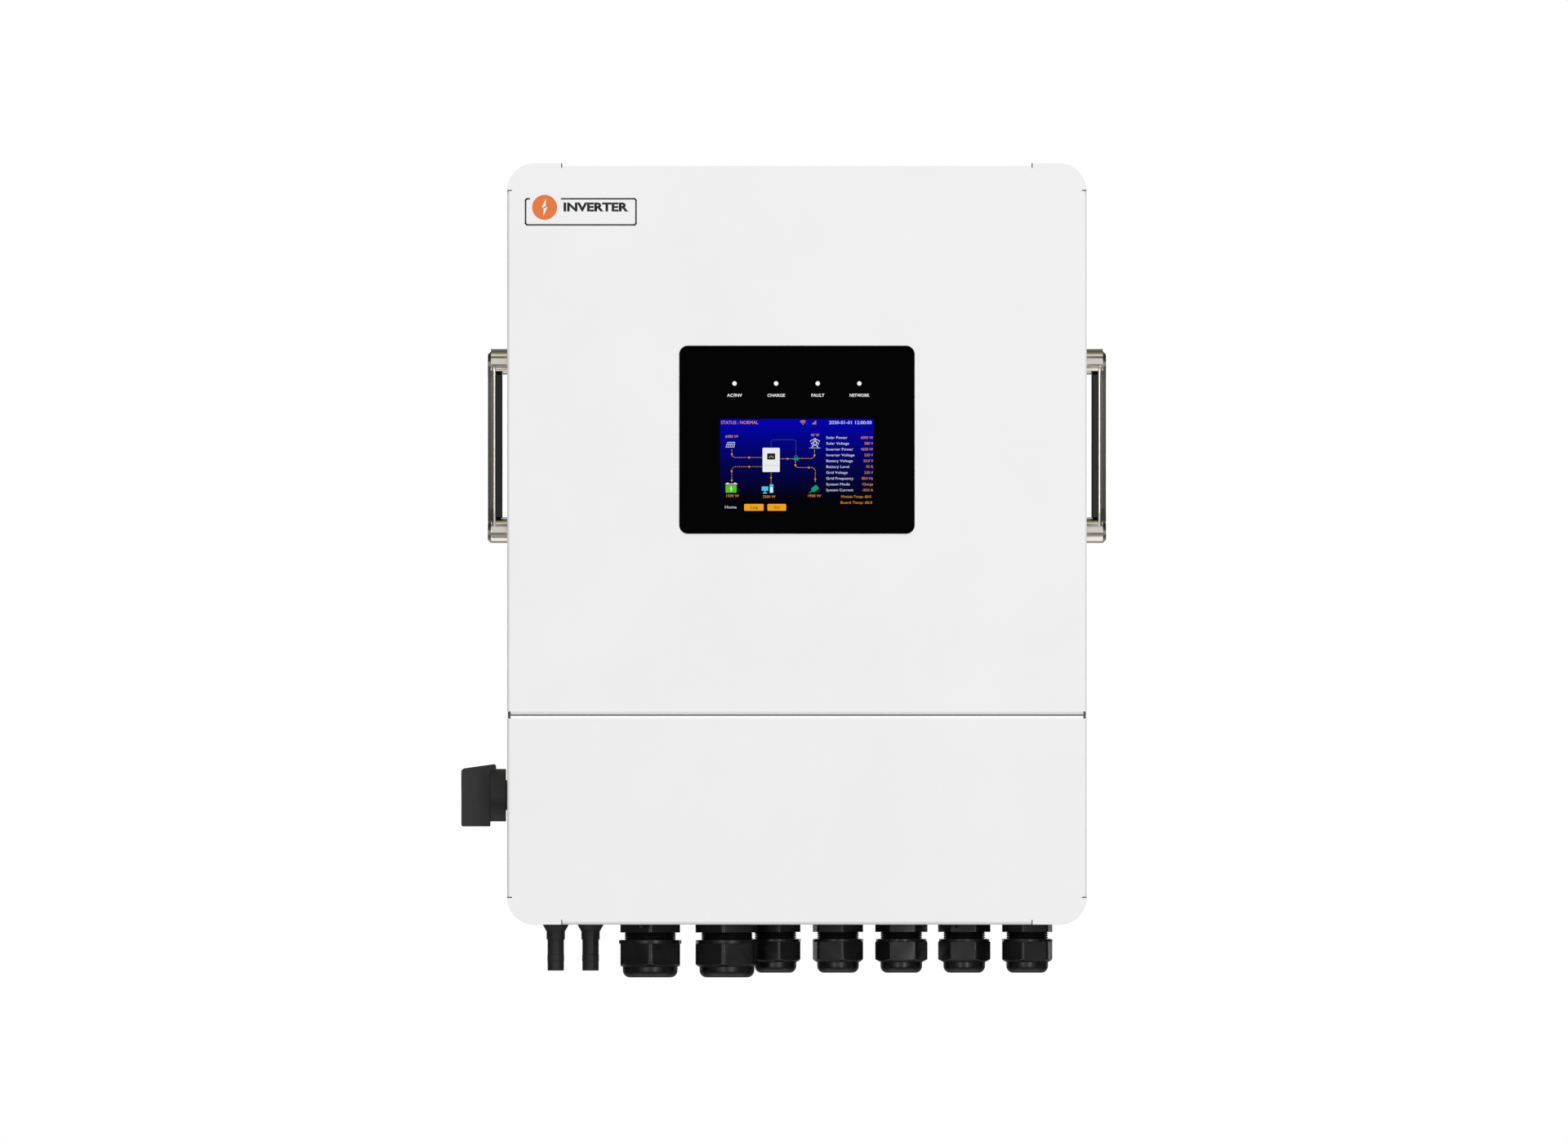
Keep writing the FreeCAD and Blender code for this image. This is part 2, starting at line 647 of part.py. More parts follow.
# ---------------------------------------------------------------- solar connectors
def pv_connectors():
    """Panel sockets: a flared collar under the plate, a thread through it, and the tube
    that the mating plug slides over."""
    shapes = []
    for x in PV_XS:
        outside = turned([
            (0, CHASSIS_Z0), (9.0, CHASSIS_Z0), (9.0, -0.4), (6.5, -4.9), (6.5, -10.5),
            (5.8, -10.5), (5.8, -32.0), (5.4, -32.4), (0, -32.4)], x, PV_Y)
        stem = rod(6.0, 15.0, V(x, PV_Y, CHASSIS_Z0))
        bore = rod(3.6, 20.0, V(x, PV_Y, -32.4))
        wire_hole = rod(2.6, 12.0, V(x, PV_Y, 6.0))
        latch = block(x - 7, x + 7, PV_Y - 7, PV_Y - 5.0, -25.9, -21.0)
        shapes.append(fused([outside, stem]).cut([bore, wire_hole, latch]))
    return group(shapes)


# ---------------------------------------------------------------- cable glands
def gland_bodies():
    """Hexagonal shoulder under the plate, thread through it, and the ribbed sleeve that
    the dome nut turns on."""
    pitch, shapes = 1.5, []
    for g, (x, y, turn) in GLANDS:
        shoulder = hexagon(g.flats, g.corner_cut, x, y, turn, -g.base, CHASSIS_Z0)
        stem = rod(g.thread_r, 12.5, V(x, y, CHASSIS_Z0))
        root, end = g.sleeve_r - 0.8, -g.base - 10 * pitch
        profile = [(0, -g.base), (root, -g.base)]
        for k in range(10):
            z = -g.base - k * pitch
            profile += [(root, z - 0.3), (g.sleeve_r, z - 0.9), (root, z - pitch)]
        profile += [(0, end)]
        body = fused([shoulder, stem, turned(profile, x, y)])
        upper = rod(g.cable_r + 1.5, 30, V(x, y, -g.base))
        lower = rod(g.seal_r + 0.2, 40, V(x, y, -g.base - 40))
        shapes.append(body.cut([upper, lower]))
    return group(shapes)


def locknut(flats, thread_r, x, y, turn):
    nut = hexagon(flats, 0.6, x, y, turn, PLATE_TOP, PLATE_TOP + 5.5)
    return nut.cut(rod(thread_r + 0.1, 8, V(x, y, 2)))


def entry_locknuts():
    """Nuts inside the plate that hold the glands and the solar connectors."""
    nuts = [locknut(g.flats - 1, g.thread_r, x, y, turn + 17) for g, (x, y, turn) in GLANDS]
    return group(nuts + [locknut(17.0, 6.0, x, PV_Y, 12) for x in PV_XS])


def gland_seals():
    """Rubber sleeves that close on the cables."""
    seals = []
    for g, (x, y, _) in GLANDS:
        top, end = -g.base - 0.2, -g.end + 3.8
        seals.append(ring(g.seal_r, g.cable_r, top - end, V(x, y, end)))
    return group(seals)


def gland_nut(g, x, y, turn):
    """Dome nut: rim, hexagon with its lower corners turned down, and the rounded dome."""
    rim = rod(g.rim_r, g.rim - g.nut_top, V(x, y, -g.rim))
    hexagonal = hexagon(g.flats, g.corner_cut, x, y, turn, -g.hex_end, -g.rim)
    trim = turned([
        (0, -g.rim), (g.flats * 0.6, -g.rim), (g.flats * 0.6, -g.hex_end + 2.6),
        (g.dome_r + 0.4, -g.hex_end), (0, -g.hex_end)], x, y)
    round_r = 5.0
    steps = [math.radians(a) for a in range(0, 91, 15)]
    dome_profile = [(0, -g.hex_end), (g.dome_r, -g.hex_end)]
    dome_profile += [
        (g.dome_r - round_r + round_r * math.cos(a), -g.end + round_r - round_r * math.sin(a))
        for a in steps
    ]
    dome = turned(dome_profile + [(0, -g.end)], x, y)
    bore_end, mouth_r = g.base + 16.0, g.seal_r + 0.6
    cavity = turned([
        (0, 0), (g.sleeve_r + 0.5, 0), (g.sleeve_r + 0.5, -bore_end), (mouth_r, -bore_end - 3.4),
        (mouth_r, -g.end + 3.4), (g.cable_r + 2.2, -g.end + 3.4), (g.cable_r + 2.2, -g.end - 1),
        (0, -g.end - 1)], x, y)
    return fused([rim, hexagonal.common(trim), dome]).cut(cavity)


# ---------------------------------------------------------------- heat sink and duct
def heat_sink():
    """Extruded aluminium: a base plate with a row of fins towards the wall."""
    z0, z1, base_y, fin_t, count = 118.0, 500.0, SINK_Y + 8.0, 1.8, 37
    pitch = (2 * SINK_X - fin_t) / (count - 1)
    base = block(-SINK_X, SINK_X, SINK_Y, base_y, z0, z1)
    fin_xs = [-SINK_X + pitch * k for k in range(count)]
    return fused([base] + [block(x, x + fin_t, base_y, FIN_TIP_Y, z0, z1) for x in fin_xs])


def duct_sides():
    """Bent side plates of the duct: a web, a flange on the rear panel and a rear tab."""
    web = block(DUCT_X, DUCT_X + DUCT_T, SINK_Y, -14, DUCT_Z0, DUCT_Z1)
    flange = block(DUCT_X + DUCT_T, 188, SINK_Y, SINK_Y + DUCT_T, DUCT_Z0, DUCT_Z1)
    tab = block(150, DUCT_X, -14 - DUCT_T, -14, 380, 480)
    side = fused([web, flange, tab])
    side = side.cut([rod(3.3, 10, V(DUCT_X - 2, HANDLE_Y, z), RIGHT) for z in post_zs()])
    return group([mirrored(side), side])


def fan_tray():
    """Bent sheet over and behind the fans."""
    x = DUCT_X - 0.3
    shelf = block(-x, x, SINK_Y, -15, FAN_Z0 + FAN_H, FAN_Z0 + FAN_H + WALL_T)
    back = block(-x, x, -15 - WALL_T, -15, DUCT_Z0, FAN_Z0 + FAN_H)
    holes = [rod(FAN_BORE_R, 4, V(c, FAN_Y, FAN_Z0 + FAN_H - 1)) for c in FAN_XS]
    return fused([shelf, back]).cut(holes)


def fan_frames():
    """Square frames, each with its bore and the motor plate on four struts."""
    frames, half = [], FAN_SIDE / 2
    for x in FAN_XS:
        shell = level_plate(x - half, x + half, FAN_Y - half, FAN_Y + half, 4, FAN_Z0, FAN_Z0 + FAN_H)
        shell = shell.cut(rod(FAN_BORE_R, FAN_H, V(x, FAN_Y, FAN_Z0)))
        plate = ring(14.0, FAN_SHAFT_R + 0.06, 3.0, V(x, FAN_Y, FAN_Z0))
        struts = []
        for angle in (45, 135, 225, 315):
            strut = block(x + 13, x + 29, FAN_Y - 1.5, FAN_Y + 1.5, FAN_Z0, FAN_Z0 + 2.5)
            strut.rotate(V(x, FAN_Y, 0), UP, angle)
            struts.append(strut)
        holes = [
            rod(2.2, FAN_H, V(x + sx * 25, FAN_Y + sy * 25, FAN_Z0))
            for sx in (-1, 1) for sy in (-1, 1)
        ]
        frames.append(fused([shell, plate] + struts).cut(holes))
    return group(frames)


def fan_rotor(x):
    """Hub with seven pitched blades, on a shaft that turns in the frame's motor plate."""
    hub = rod(14.0, 19.0, V(x, FAN_Y, FAN_Z0 + 4))
    shaft = rod(FAN_SHAFT_R, 3.6, V(x, FAN_Y, FAN_Z0 + 0.4))
    blades = []
    for k in range(7):
        blade = Part.makeBox(14.3, 1.6, 19.0, V(13.0, -0.8, -9.5))
        blade.rotate(V(0, 0, 0), RIGHT, 38)
        blade.rotate(V(0, 0, 0), UP, 360.0 / 7 * k)
        blade.translate(V(x, FAN_Y, FAN_Z0 + 13.5))
        blades.append(blade)
    return fused([hub, shaft] + blades)


def fan_guards():
    """Wire finger guards under the fans."""
    wire, guards = 0.9, []
    for x in FAN_XS:
        z = FAN_Z0 - wire
        rings = [Part.makeTorus(r, wire, V(x, FAN_Y, z - 2 * wire + 0.3)) for r in (7.0, 14.0, 21.0, 28.0)]
        bars = []
        for a in (45, 135):
            d = V(math.cos(math.radians(a)), math.sin(math.radians(a)), 0)
            bars.append(rod(wire, 72.0, V(x, FAN_Y, z) - d * 36.0, d))
        guards.append(fused(bars + rings))
    return group(guards)


# ---------------------------------------------------------------- handles
def post_zs():
    return (HANDLE_Z - HANDLE_PITCH / 2, HANDLE_Z + HANDLE_PITCH / 2)


def bar_wire(z, half_w):
    """Outline of a handle's bar at height z, with its outer edges cut off."""
    x0, x1, c = HANDLE_X - BAR_T, HANDLE_X, BAR_CHAMFER
    corners = [
        (x0, -half_w), (x1 - c, -half_w), (x1, -half_w + c), (x1, half_w - c),
        (x1 - c, half_w), (x0, half_w)]
    points = [V(x, HANDLE_Y + y, z) for x, y in corners]
    return Part.makePolygon(points + [points[0]])


def handle():
    """Right-hand lifting handle: two round posts and the bar between them, which widens
    into each post."""
    chamfer, root_x = 2.3, DUCT_X + DUCT_T
    lower, upper = post_zs()
    pieces = []
    for z in (lower, upper):
        pieces.append(rod(POST_R, HANDLE_X - chamfer - root_x, V(root_x, HANDLE_Y, z), RIGHT))
        pieces.append(Part.makeCone(
            POST_R, POST_R - chamfer, chamfer, V(HANDLE_X - chamfer, HANDLE_Y, z), RIGHT))
    ends = ((lower + 6, 8.4), (lower + 16, 6.8), (upper - 16, 6.8), (upper - 6, 8.4))
    for (z0, w0), (z1, w1) in zip(ends, ends[1:]):
        pieces.append(Part.makeLoft([bar_wire(z0, w0), bar_wire(z1, w1)], True, True))
    return fused(pieces).cut([rod(2.5, 16, V(root_x, HANDLE_Y, z), RIGHT) for z in (lower, upper)])


def handles():
    return group([mirrored(handle()), handle()])


def grip():
    """Soft strip on the finger side of a handle's bar."""
    lower, upper = post_zs()
    x1 = HANDLE_X - BAR_T
    x0 = x1 - GRIP_T
    points = [(x1, -5.7), (x1, 5.7), (x0 + 1.8, 5.7), (x0, 3.6), (x0, -3.6), (x0 + 1.8, -5.7)]
    strip = loop([V(x, HANDLE_Y + y, lower) for x, y in points]).extrude(UP * (upper - lower))
    return strip.cut([rod(POST_R, 50, V(DUCT_X, HANDLE_Y, z), RIGHT) for z in (lower, upper)])


def handle_grips():
    return group([mirrored(grip()), grip()])


def handle_screws():
    screws = []
    for z in post_zs():
        head = rod(5.0, 3.5, V(DUCT_X - 3.5, HANDLE_Y, z), RIGHT)
        socket = rod(2.0, 2.0, V(DUCT_X - 3.5, HANDLE_Y, z), RIGHT)
        screws.append(fused([head.cut(socket), rod(2.4, 14.0, V(DUCT_X, HANDLE_Y, z), RIGHT)]))
    return group([mirrored(s) for s in screws] + screws)


# ---------------------------------------------------------------- wall mounting
def wall_bracket():
    """Plate bolted to the wall, with an upturned lip that the hanger rail hooks over."""
    t, z0, z1, lip_y = 2.5, BOLT_Z - 40, BOLT_Z + 40, -9.5
    profile = [
        (0, z0), (0, z1), (lip_y + t, z1), (lip_y + t, z1 + 16), (lip_y, z1 + 16),
        (lip_y, z1 - t), (-t, z1 - t), (-t, z0)]
    plate = loop([V(-150, y, z) for y, z in profile]).extrude(RIGHT * 300)
    holes = [
        rod(BOLT_R, 6, V(sx * BOLT_DX / 2, -4, BOLT_Z + sz * BOLT_DZ / 2), BACK)
        for sx in (-1, 1) for sz in (-1, 1)
    ]
    return plate.cut(holes)


def hanger_rail():
    """Hooked rail across the duct sides that hangs on the wall bracket."""
    t, front, top = 2.5, -14.0, BOLT_Z + 58.5
    profile = [
        (front, BOLT_Z - 10), (front, top), (-3.0, top), (-3.0, top - 14), (-3.0 - t, top - 14),
        (-3.0 - t, top - t), (front + t, top - t), (front + t, BOLT_Z - 10)]
    return loop([V(-165, y, z) for y, z in profile]).extrude(RIGHT * 330)


def lower_tabs():
    """Tabs from the fan tray to the wall, with a hole for a locking bolt each."""
    t = 2.5
    profile = [
        (-15, 60), (-15, 90), (-15 + t, 90), (-15 + t, 60 + t), (0, 60 + t), (0, LOW_BOLT_Z - 12),
        (-t, LOW_BOLT_Z - 12), (-t, 60)]
    tab = loop([V(LOW_BOLT_X - 13, y, z) for y, z in profile]).extrude(RIGHT * 26)
    tab = tab.cut(rod(LOW_BOLT_R, 6, V(LOW_BOLT_X, -4, LOW_BOLT_Z), BACK))
    return group([mirrored(tab), tab])


# ---------------------------------------------------------------- write the parts
def parts():
    made = {
        "upper_cover": upper_cover(),
        "lower_cover": lower_cover(),
        "upper_gasket": upper_gasket(),
        "lower_gasket": lower_gasket(),
        "upper_cover_screws": upper_cover_screws(),
        "lower_cover_screws": lower_cover_screws(),
        "left_side_panel": side_panel(-1),
        "right_side_panel": side_panel(1),
        "top_panel": top_panel(),
        "gland_plate": gland_plate(),
        "rear_panel": rear_panel(),
        "divider_shelf": divider_shelf(),
        "display_glass": display_glass(),
        "display_bezel": display_bezel(),
        "lcd_module": lcd_module(),
        "display_board": display_board(),
        "led_light_pipes": led_light_pipes(),
        "main_board": main_board(),
        "control_board": control_board(),
        "board_standoffs": board_standoffs(),
        "power_modules": power_modules(),
        "bus_capacitors": bus_capacitors(),
        "boost_inductors": boost_inductors(),
        "isolation_transformer": isolation_transformer(),
        "grid_relays": grid_relays(),
        "battery_terminal_block": battery_terminal_block(),
        "battery_studs": battery_studs(),
        "ac_terminal_block": ac_terminal_block(),
        "ac_terminal_screws": ac_terminal_screws(),
        "comm_board": comm_board(),
        "comm_sockets": comm_sockets(),
        "earth_bar": earth_bar(),
        "dc_switch_body": dc_switch_body(),
        "dc_switch_shaft": dc_switch_shaft(),
        "dc_switch_knob": dc_switch_knob(),
        "pv_connectors": pv_connectors(),
        "gland_bodies": gland_bodies(),
        "entry_locknuts": entry_locknuts(),
        "gland_seals": gland_seals(),
        "heat_sink": heat_sink(),
        "duct_sides": duct_sides(),
        "fan_tray": fan_tray(),
        "fan_frames": fan_frames(),
        "fan_guards": fan_guards(),
        "handles": handles(),
        "handle_grips": handle_grips(),
        "handle_screws": handle_screws(),
        "wall_bracket": wall_bracket(),
        "hanger_rail": hanger_rail(),
        "lower_tabs": lower_tabs(),
    }
    for k, (g, (x, y, turn)) in enumerate(GLANDS, 1):
        made[f"gland_nut_{k}"] = gland_nut(g, x, y, turn)
    for k, x in enumerate(FAN_XS, 1):
        made[f"fan_rotor_{k}"] = fan_rotor(x)
    return made


def main():
    os.makedirs("parts", exist_ok=True)
    for name, shape in parts().items():
        placed = shape.copy()
        placed.translate(V(0, 0, -BOLT_Z))
        if not placed.isValid():
            print("not valid:", name)
        placed.exportStep(f"parts/{name}.step")
        print(f"{name}: {len(placed.Solids)} solids, {placed.Volume / 1000:.1f} cm3")


main()
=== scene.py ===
"""Looks of a wall-hung string inverter, laid out as an add-on.

The shapes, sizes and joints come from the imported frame. Each operator finishes one group
of pieces: it eases the edges of the frame's own shapes, models what is too fine for the
frame, such as prints, screen and board parts, and gives each piece its material.
"""
import json
import math

import bpy
from bpy.props import FloatProperty, FloatVectorProperty, PointerProperty, StringProperty
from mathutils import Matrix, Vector

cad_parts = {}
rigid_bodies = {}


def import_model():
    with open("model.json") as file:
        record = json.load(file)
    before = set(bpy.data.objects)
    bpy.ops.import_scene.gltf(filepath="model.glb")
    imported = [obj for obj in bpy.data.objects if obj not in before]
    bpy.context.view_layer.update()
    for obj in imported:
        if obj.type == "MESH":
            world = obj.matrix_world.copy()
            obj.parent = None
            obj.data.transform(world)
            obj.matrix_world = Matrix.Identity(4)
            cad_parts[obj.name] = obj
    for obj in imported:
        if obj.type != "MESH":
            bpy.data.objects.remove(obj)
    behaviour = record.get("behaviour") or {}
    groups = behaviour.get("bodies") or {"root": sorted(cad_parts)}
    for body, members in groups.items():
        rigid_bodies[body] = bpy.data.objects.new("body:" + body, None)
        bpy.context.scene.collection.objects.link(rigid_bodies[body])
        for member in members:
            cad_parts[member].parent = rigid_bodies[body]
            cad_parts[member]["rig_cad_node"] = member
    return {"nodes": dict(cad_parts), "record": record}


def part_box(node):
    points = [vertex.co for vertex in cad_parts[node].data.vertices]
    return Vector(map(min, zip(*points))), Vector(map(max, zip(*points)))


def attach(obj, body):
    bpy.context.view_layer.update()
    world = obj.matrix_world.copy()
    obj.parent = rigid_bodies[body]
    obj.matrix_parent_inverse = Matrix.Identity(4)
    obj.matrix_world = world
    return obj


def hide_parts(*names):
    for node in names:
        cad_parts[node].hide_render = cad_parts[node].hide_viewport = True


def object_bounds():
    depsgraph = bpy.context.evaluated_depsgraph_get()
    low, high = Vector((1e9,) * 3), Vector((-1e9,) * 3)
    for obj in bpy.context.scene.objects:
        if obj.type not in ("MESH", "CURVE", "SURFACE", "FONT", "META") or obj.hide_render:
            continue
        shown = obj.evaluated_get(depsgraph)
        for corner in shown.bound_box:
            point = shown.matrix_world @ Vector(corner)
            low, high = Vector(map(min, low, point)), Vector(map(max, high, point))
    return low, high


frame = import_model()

bl_info = {
    "name": "String inverter",
    "version": (1, 0, 0),
    "blender": (4, 5, 0),
    "location": "View3D > Sidebar > Inverter",
    "description": "Finishes the pieces of a wall-hung string inverter",
    "category": "Object",
}

MM = 0.001
CAD_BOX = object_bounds()
NODES = frame["nodes"]
BODY_OF = {n: body for body, names in frame["record"]["behaviour"]["bodies"].items() for n in names}
SLOT_OF = {s["node"]: s["material_slot"] for s in frame["record"]["subparts"]}

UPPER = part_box("upper_cover")
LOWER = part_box("lower_cover")
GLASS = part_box("display_glass")
FACE_Y = UPPER[0].y                        # front face of the covers
GLASS_FRONT = GLASS[0].y + 0.15 * MM       # leaves room for the prints on the glass
LEFT_X, RIGHT_X = UPPER[0].x, UPPER[1].x
MIDDLE_X = (LEFT_X + RIGHT_X) / 2
MIDDLE_Z = (LOWER[0].z + UPPER[1].z) / 2

SCREEN_W, SCREEN_H = 108.0, 64.8           # lit area, in mm
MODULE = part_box("lcd_module")
SCREEN_X0 = (MODULE[0].x + MODULE[1].x - SCREEN_W * MM) / 2
SCREEN_Z0 = (MODULE[0].z + MODULE[1].z - SCREEN_H * MM) / 2
ROW_V, ROW_PITCH = 51.8, 4.1               # first row of readings and their spacing, in mm


def layer(number):
    """Depth of one of the layers printed on the glass, the first one innermost."""
    return GLASS_FRONT - (0.03 * number - 0.01) * MM


def spot(u, v):
    """Place on the screen, from mm measured from the lit area's lower left corner."""
    return (SCREEN_X0 + u * MM, SCREEN_Z0 + v * MM)


def linear(code):
    """Linear colour of an sRGB hex code."""
    parts = [int(code[k:k + 2], 16) / 255 for k in (0, 2, 4)]
    return [c / 12.92 if c <= 0.04045 else ((c + 0.055) / 1.055) ** 2.4 for c in parts]


# ------------ what a user would change
def colour(label, code, about):
    return FloatVectorProperty(
        name=label, description=about, default=linear(code), size=3, subtype="COLOR", min=0, max=1)


def length(label, metres, about):
    return FloatProperty(name=label, description=about, default=metres, min=0, unit="LENGTH")


class InverterEnclosure(bpy.types.PropertyGroup):
    paint: colour("Paint", "F1F1F2", "Powder coat of the covers and chassis")
    sheet_edge: length("Sheet edge", 0.2 * MM, "Round on the cut edges of the sheet metal")
    moulded_edge: length("Moulded edge", 0.5 * MM, "Round on the edges of moulded pieces")
    zinc: colour("Zinc plate", "B9BCBF", "Plating of the brackets, duct and screws")
    nickel: colour("Handle metal", "EDE5D9", "Polished nickel of the handles")


class InverterPrints(bpy.types.PropertyGroup):
    badge_word: StringProperty(name="Badge word", description="Generic word on the badge", default="INVERTER")
    badge_ink: colour("Badge ink", "0C0C0D", "Word and outline of the badge")
    badge_accent: colour("Badge accent", "E8762C", "Disc of the badge")
    label_ink: colour("Label ink", "F4F4F4", "Labels and lights above the screen")
    amber: colour("Screen amber", "F0A51A", "Values, flow lines and buttons on the screen")
    pale: colour("Screen pale", "D9DCF5", "Labels on the screen")
    badge_gap: length("Badge inset", 12.95 * MM, "From the left edge of the cover to the badge")


class InverterStage(bpy.types.PropertyGroup):
    floor_drop: length("Floor drop", 0.56, "From the lowest point of the inverter to the floor")
    frame_width: length("Frame width", 1.104, "Width that the camera takes in")
    softbox_power: FloatProperty(
        name="Softbox power", description="Power of each front softbox", default=9.0, min=0, unit="POWER")


# ------------ material helpers
NOISE_LOW, NOISE_HIGH = 0.3, 0.7           # nearly all of a noise lies between these


def add_node(tree, kind, values=None, links=None, **settings):
    """Adds a node: settings are its own options, values fill inputs and links feed them."""
    made = tree.nodes.new("ShaderNode" + kind)
    for key, value in settings.items():
        setattr(made, key, value)
    for key, value in (values or {}).items():
        made.inputs[key].default_value = value
    for key, socket in (links or {}).items():
        tree.links.new(socket, made.inputs[key])
    return made


def rgba(colour_or_code):
    values = linear(colour_or_code) if isinstance(colour_or_code, str) else list(colour_or_code)
    return [*values, 1.0]


def start_material(name, **values):
    """New material with its shader's own values set; returns material, shader and the
    Object coordinates, which are metres in the object's frame."""
    material = bpy.data.materials.new(name)
    material.use_nodes = True
    tree = material.node_tree
    shader = tree.nodes["Principled BSDF"]
    for key, value in values.items():
        shader.inputs[key.replace("_", " ")].default_value = value
    place = add_node(tree, "TexCoord").outputs["Object"]
    return material, shader, place


def ramp(factor, stops):
    """Colour ramp through (position, colour) stops."""
    made = add_node(factor.id_data, "ValToRGB", links={"Fac": factor})
    band = made.color_ramp.elements
    while len(band) < len(stops):
        band.new(0.5)
    for element, (position, shade) in zip(band, stops):
        element.position = position
        element.color = rgba(shade)
    return made.outputs["Color"]


def noise(place, size, detail=2.0, stretch=(1, 1, 1)):
    """Noise whose features are about size metres across."""
    tree = place.id_data
    scaled = add_node(tree, "Mapping", {"Scale": stretch}, {"Vector": place}).outputs["Vector"]
    made = add_node(
        tree, "TexNoise", {"Scale": 1 / size, "Detail": detail, "Roughness": 0.55}, {"Vector": scaled})
    return made.outputs["Fac"]


def remap(value, start, end, low=0.0, high=1.0):
    """Maps the range from start to end onto the one from low to high."""
    ranges = {"From Min": start, "From Max": end, "To Min": low, "To Max": high}
    return add_node(value.id_data, "MapRange", ranges, {"Value": value}).outputs["Result"]


def feed(shader, key, socket):
    shader.id_data.links.new(socket, shader.inputs[key])


def rough(shader, factor, low, high):
    feed(shader, "Roughness", remap(factor, NOISE_LOW, NOISE_HIGH, low, high))


def tint(shader, factor, dark, light):
    feed(shader, "Base Color", ramp(factor, ((NOISE_LOW, dark), (NOISE_HIGH, light))))


def emboss(shader, *layers):
    """Bump from (height factor, depth in metres) layers, one after another."""
    feeds = {}
    for factor, depth in layers:
        feeds["Height"] = factor
        bump = add_node(shader.id_data, "Bump", {"Strength": 1.0, "Distance": depth}, feeds)
        feeds = {"Normal": bump.outputs["Normal"]}
    feed(shader, "Normal", feeds["Normal"])


def shade(colour_value, factor):
    return [min(c * factor, 1.0) for c in colour_value]


def surface(name, pattern, tones, gloss, bump=None, **values):
    """Material whose colour and roughness follow one noise; bump is (depth, noise size,
    detail, stretch)."""
    material, shader, place = start_material(name, **values)
    patches = noise(place, *pattern)
    tint(shader, patches, *tones)
    rough(shader, patches, *gloss)
    if bump:
        emboss(shader, (noise(place, *bump[1:]), bump[0]))
    return material


# ------------ materials
def powder_coat():
    """Polyester powder coat, sprayed and baked: satin, with the orange peel of the melt."""
    paint = bpy.context.scene.inverter_enclosure.paint
    material, shader, place = start_material("powder_coat", IOR=1.5)
    clouds = noise(place, 0.09, 3)
    peel = noise(place, 1.6 * MM, 2)
    grit = noise(place, 0.45 * MM, 1)
    tint(shader, clouds, shade(paint, 0.985), shade(paint, 1.01))
    rough(shader, peel, 0.38, 0.5)
    emboss(shader, (peel, 0.012 * MM), (grit, 0.004 * MM))
    return material


def zinc_plate():
    """Bright zinc plate on rolled steel: cool grey with the drawing lines of the sheet and
    faint milky passivation patches."""
    zinc = bpy.context.scene.inverter_enclosure.zinc
    return surface(
        "zinc_plate", (14 * MM, 4), (shade(zinc, 0.88), shade(zinc, 1.06)), (0.28, 0.46),
        (0.006 * MM, 0.5 * MM, 2, (0.03, 1, 1)), Metallic=1.0)


def black_oxide():
    """Chemically blackened steel: near-black metal with an oily sheen and brown rubs."""
    return surface("black_oxide", (1.2 * MM, 3), ("1B1B1D", "2B2826"), (0.3, 0.5), Metallic=1.0)


def extruded_aluminium():
    """Extruded aluminium: pale, with die lines that run along the fins."""
    material, shader, place = start_material("extruded_aluminium", Metallic=1.0)
    lines = noise(place, 0.6 * MM, 3, (1, 1, 0.01))
    patches = noise(place, 30 * MM, 3)
    tint(shader, lines, "B4B7BA", "D5D7D9")
    rough(shader, patches, 0.32, 0.5)
    emboss(shader, (lines, 0.01 * MM))
    return material


def polished_nickel():
    """Nickel plate on a buffed bar: warm mirror gloss with faint buffing haze."""
    nickel = bpy.context.scene.inverter_enclosure.nickel
    return surface(
        "polished_nickel", (9 * MM, 4), (shade(nickel, 0.93), nickel), (0.05, 0.13),
        (0.0008 * MM, 0.35 * MM, 2, (1, 1, 0.05)), Metallic=1.0)


def moulded(name, dark, light, low, high, gloss=0.15, grain=0.35 * MM, depth=0.008 * MM):
    """Injection-moulded polymer: a spark-eroded grain and slow changes of roughness."""
    return surface(
        name, (12 * MM, 3), (dark, light), (low, high), (depth, grain, 2),
        IOR=1.5, Specular_IOR_Level=gloss)


def glass_filled_nylon():
    """Moulded nylon of the glands: near-black satin."""
    return moulded("glass_filled_nylon", "0D0D0D", "151514", 0.24, 0.34, 0.32)


def textured_abs():
    """Moulded ABS of the switch knob: charcoal with a fine matt grain."""
    return moulded("textured_abs", "242424", "2D2D2C", 0.42, 0.55, 0.25, 0.5 * MM, 0.012 * MM)


def fan_plastic():
    """Moulded polyester of the fans: black, a little glossier than the glands."""
    return moulded("fan_plastic", "141415", "1B1B1D", 0.3, 0.42, 0.35)


def epdm_rubber():
    """Moulded EPDM: dull black with a dusty bloom."""
    return moulded("epdm_rubber", "0B0B0B", "141413", 0.62, 0.85, 0.12, 0.6 * MM, 0.02 * MM)


def painted_shade_rubber():
    """Moulded EPDM of the seam's end blocks: mid grey and dull, painted shade that stands for the shadow in
    the notches at the seam's ends.
    """
    return moulded("painted_shade_rubber", "7C7C7A", "8A8A88", 0.6, 0.8, 0.15, 0.6 * MM, 0.02 * MM)


def printed_glass():
    """Cover glass printed black on its back: deep gloss with the faintest wipe marks."""
    return surface(
        "printed_glass", (25 * MM, 3, (1, 1, 0.25)), ("000000", "010101"), (0.02, 0.06),
        IOR=1.5, Specular_IOR_Level=0.02)


def grey_polyamide():
    """Moulded grey polyamide of the terminal block and relays."""
    return moulded("grey_polyamide", "8B8F93", "9BA0A4", 0.42, 0.55, 0.45)


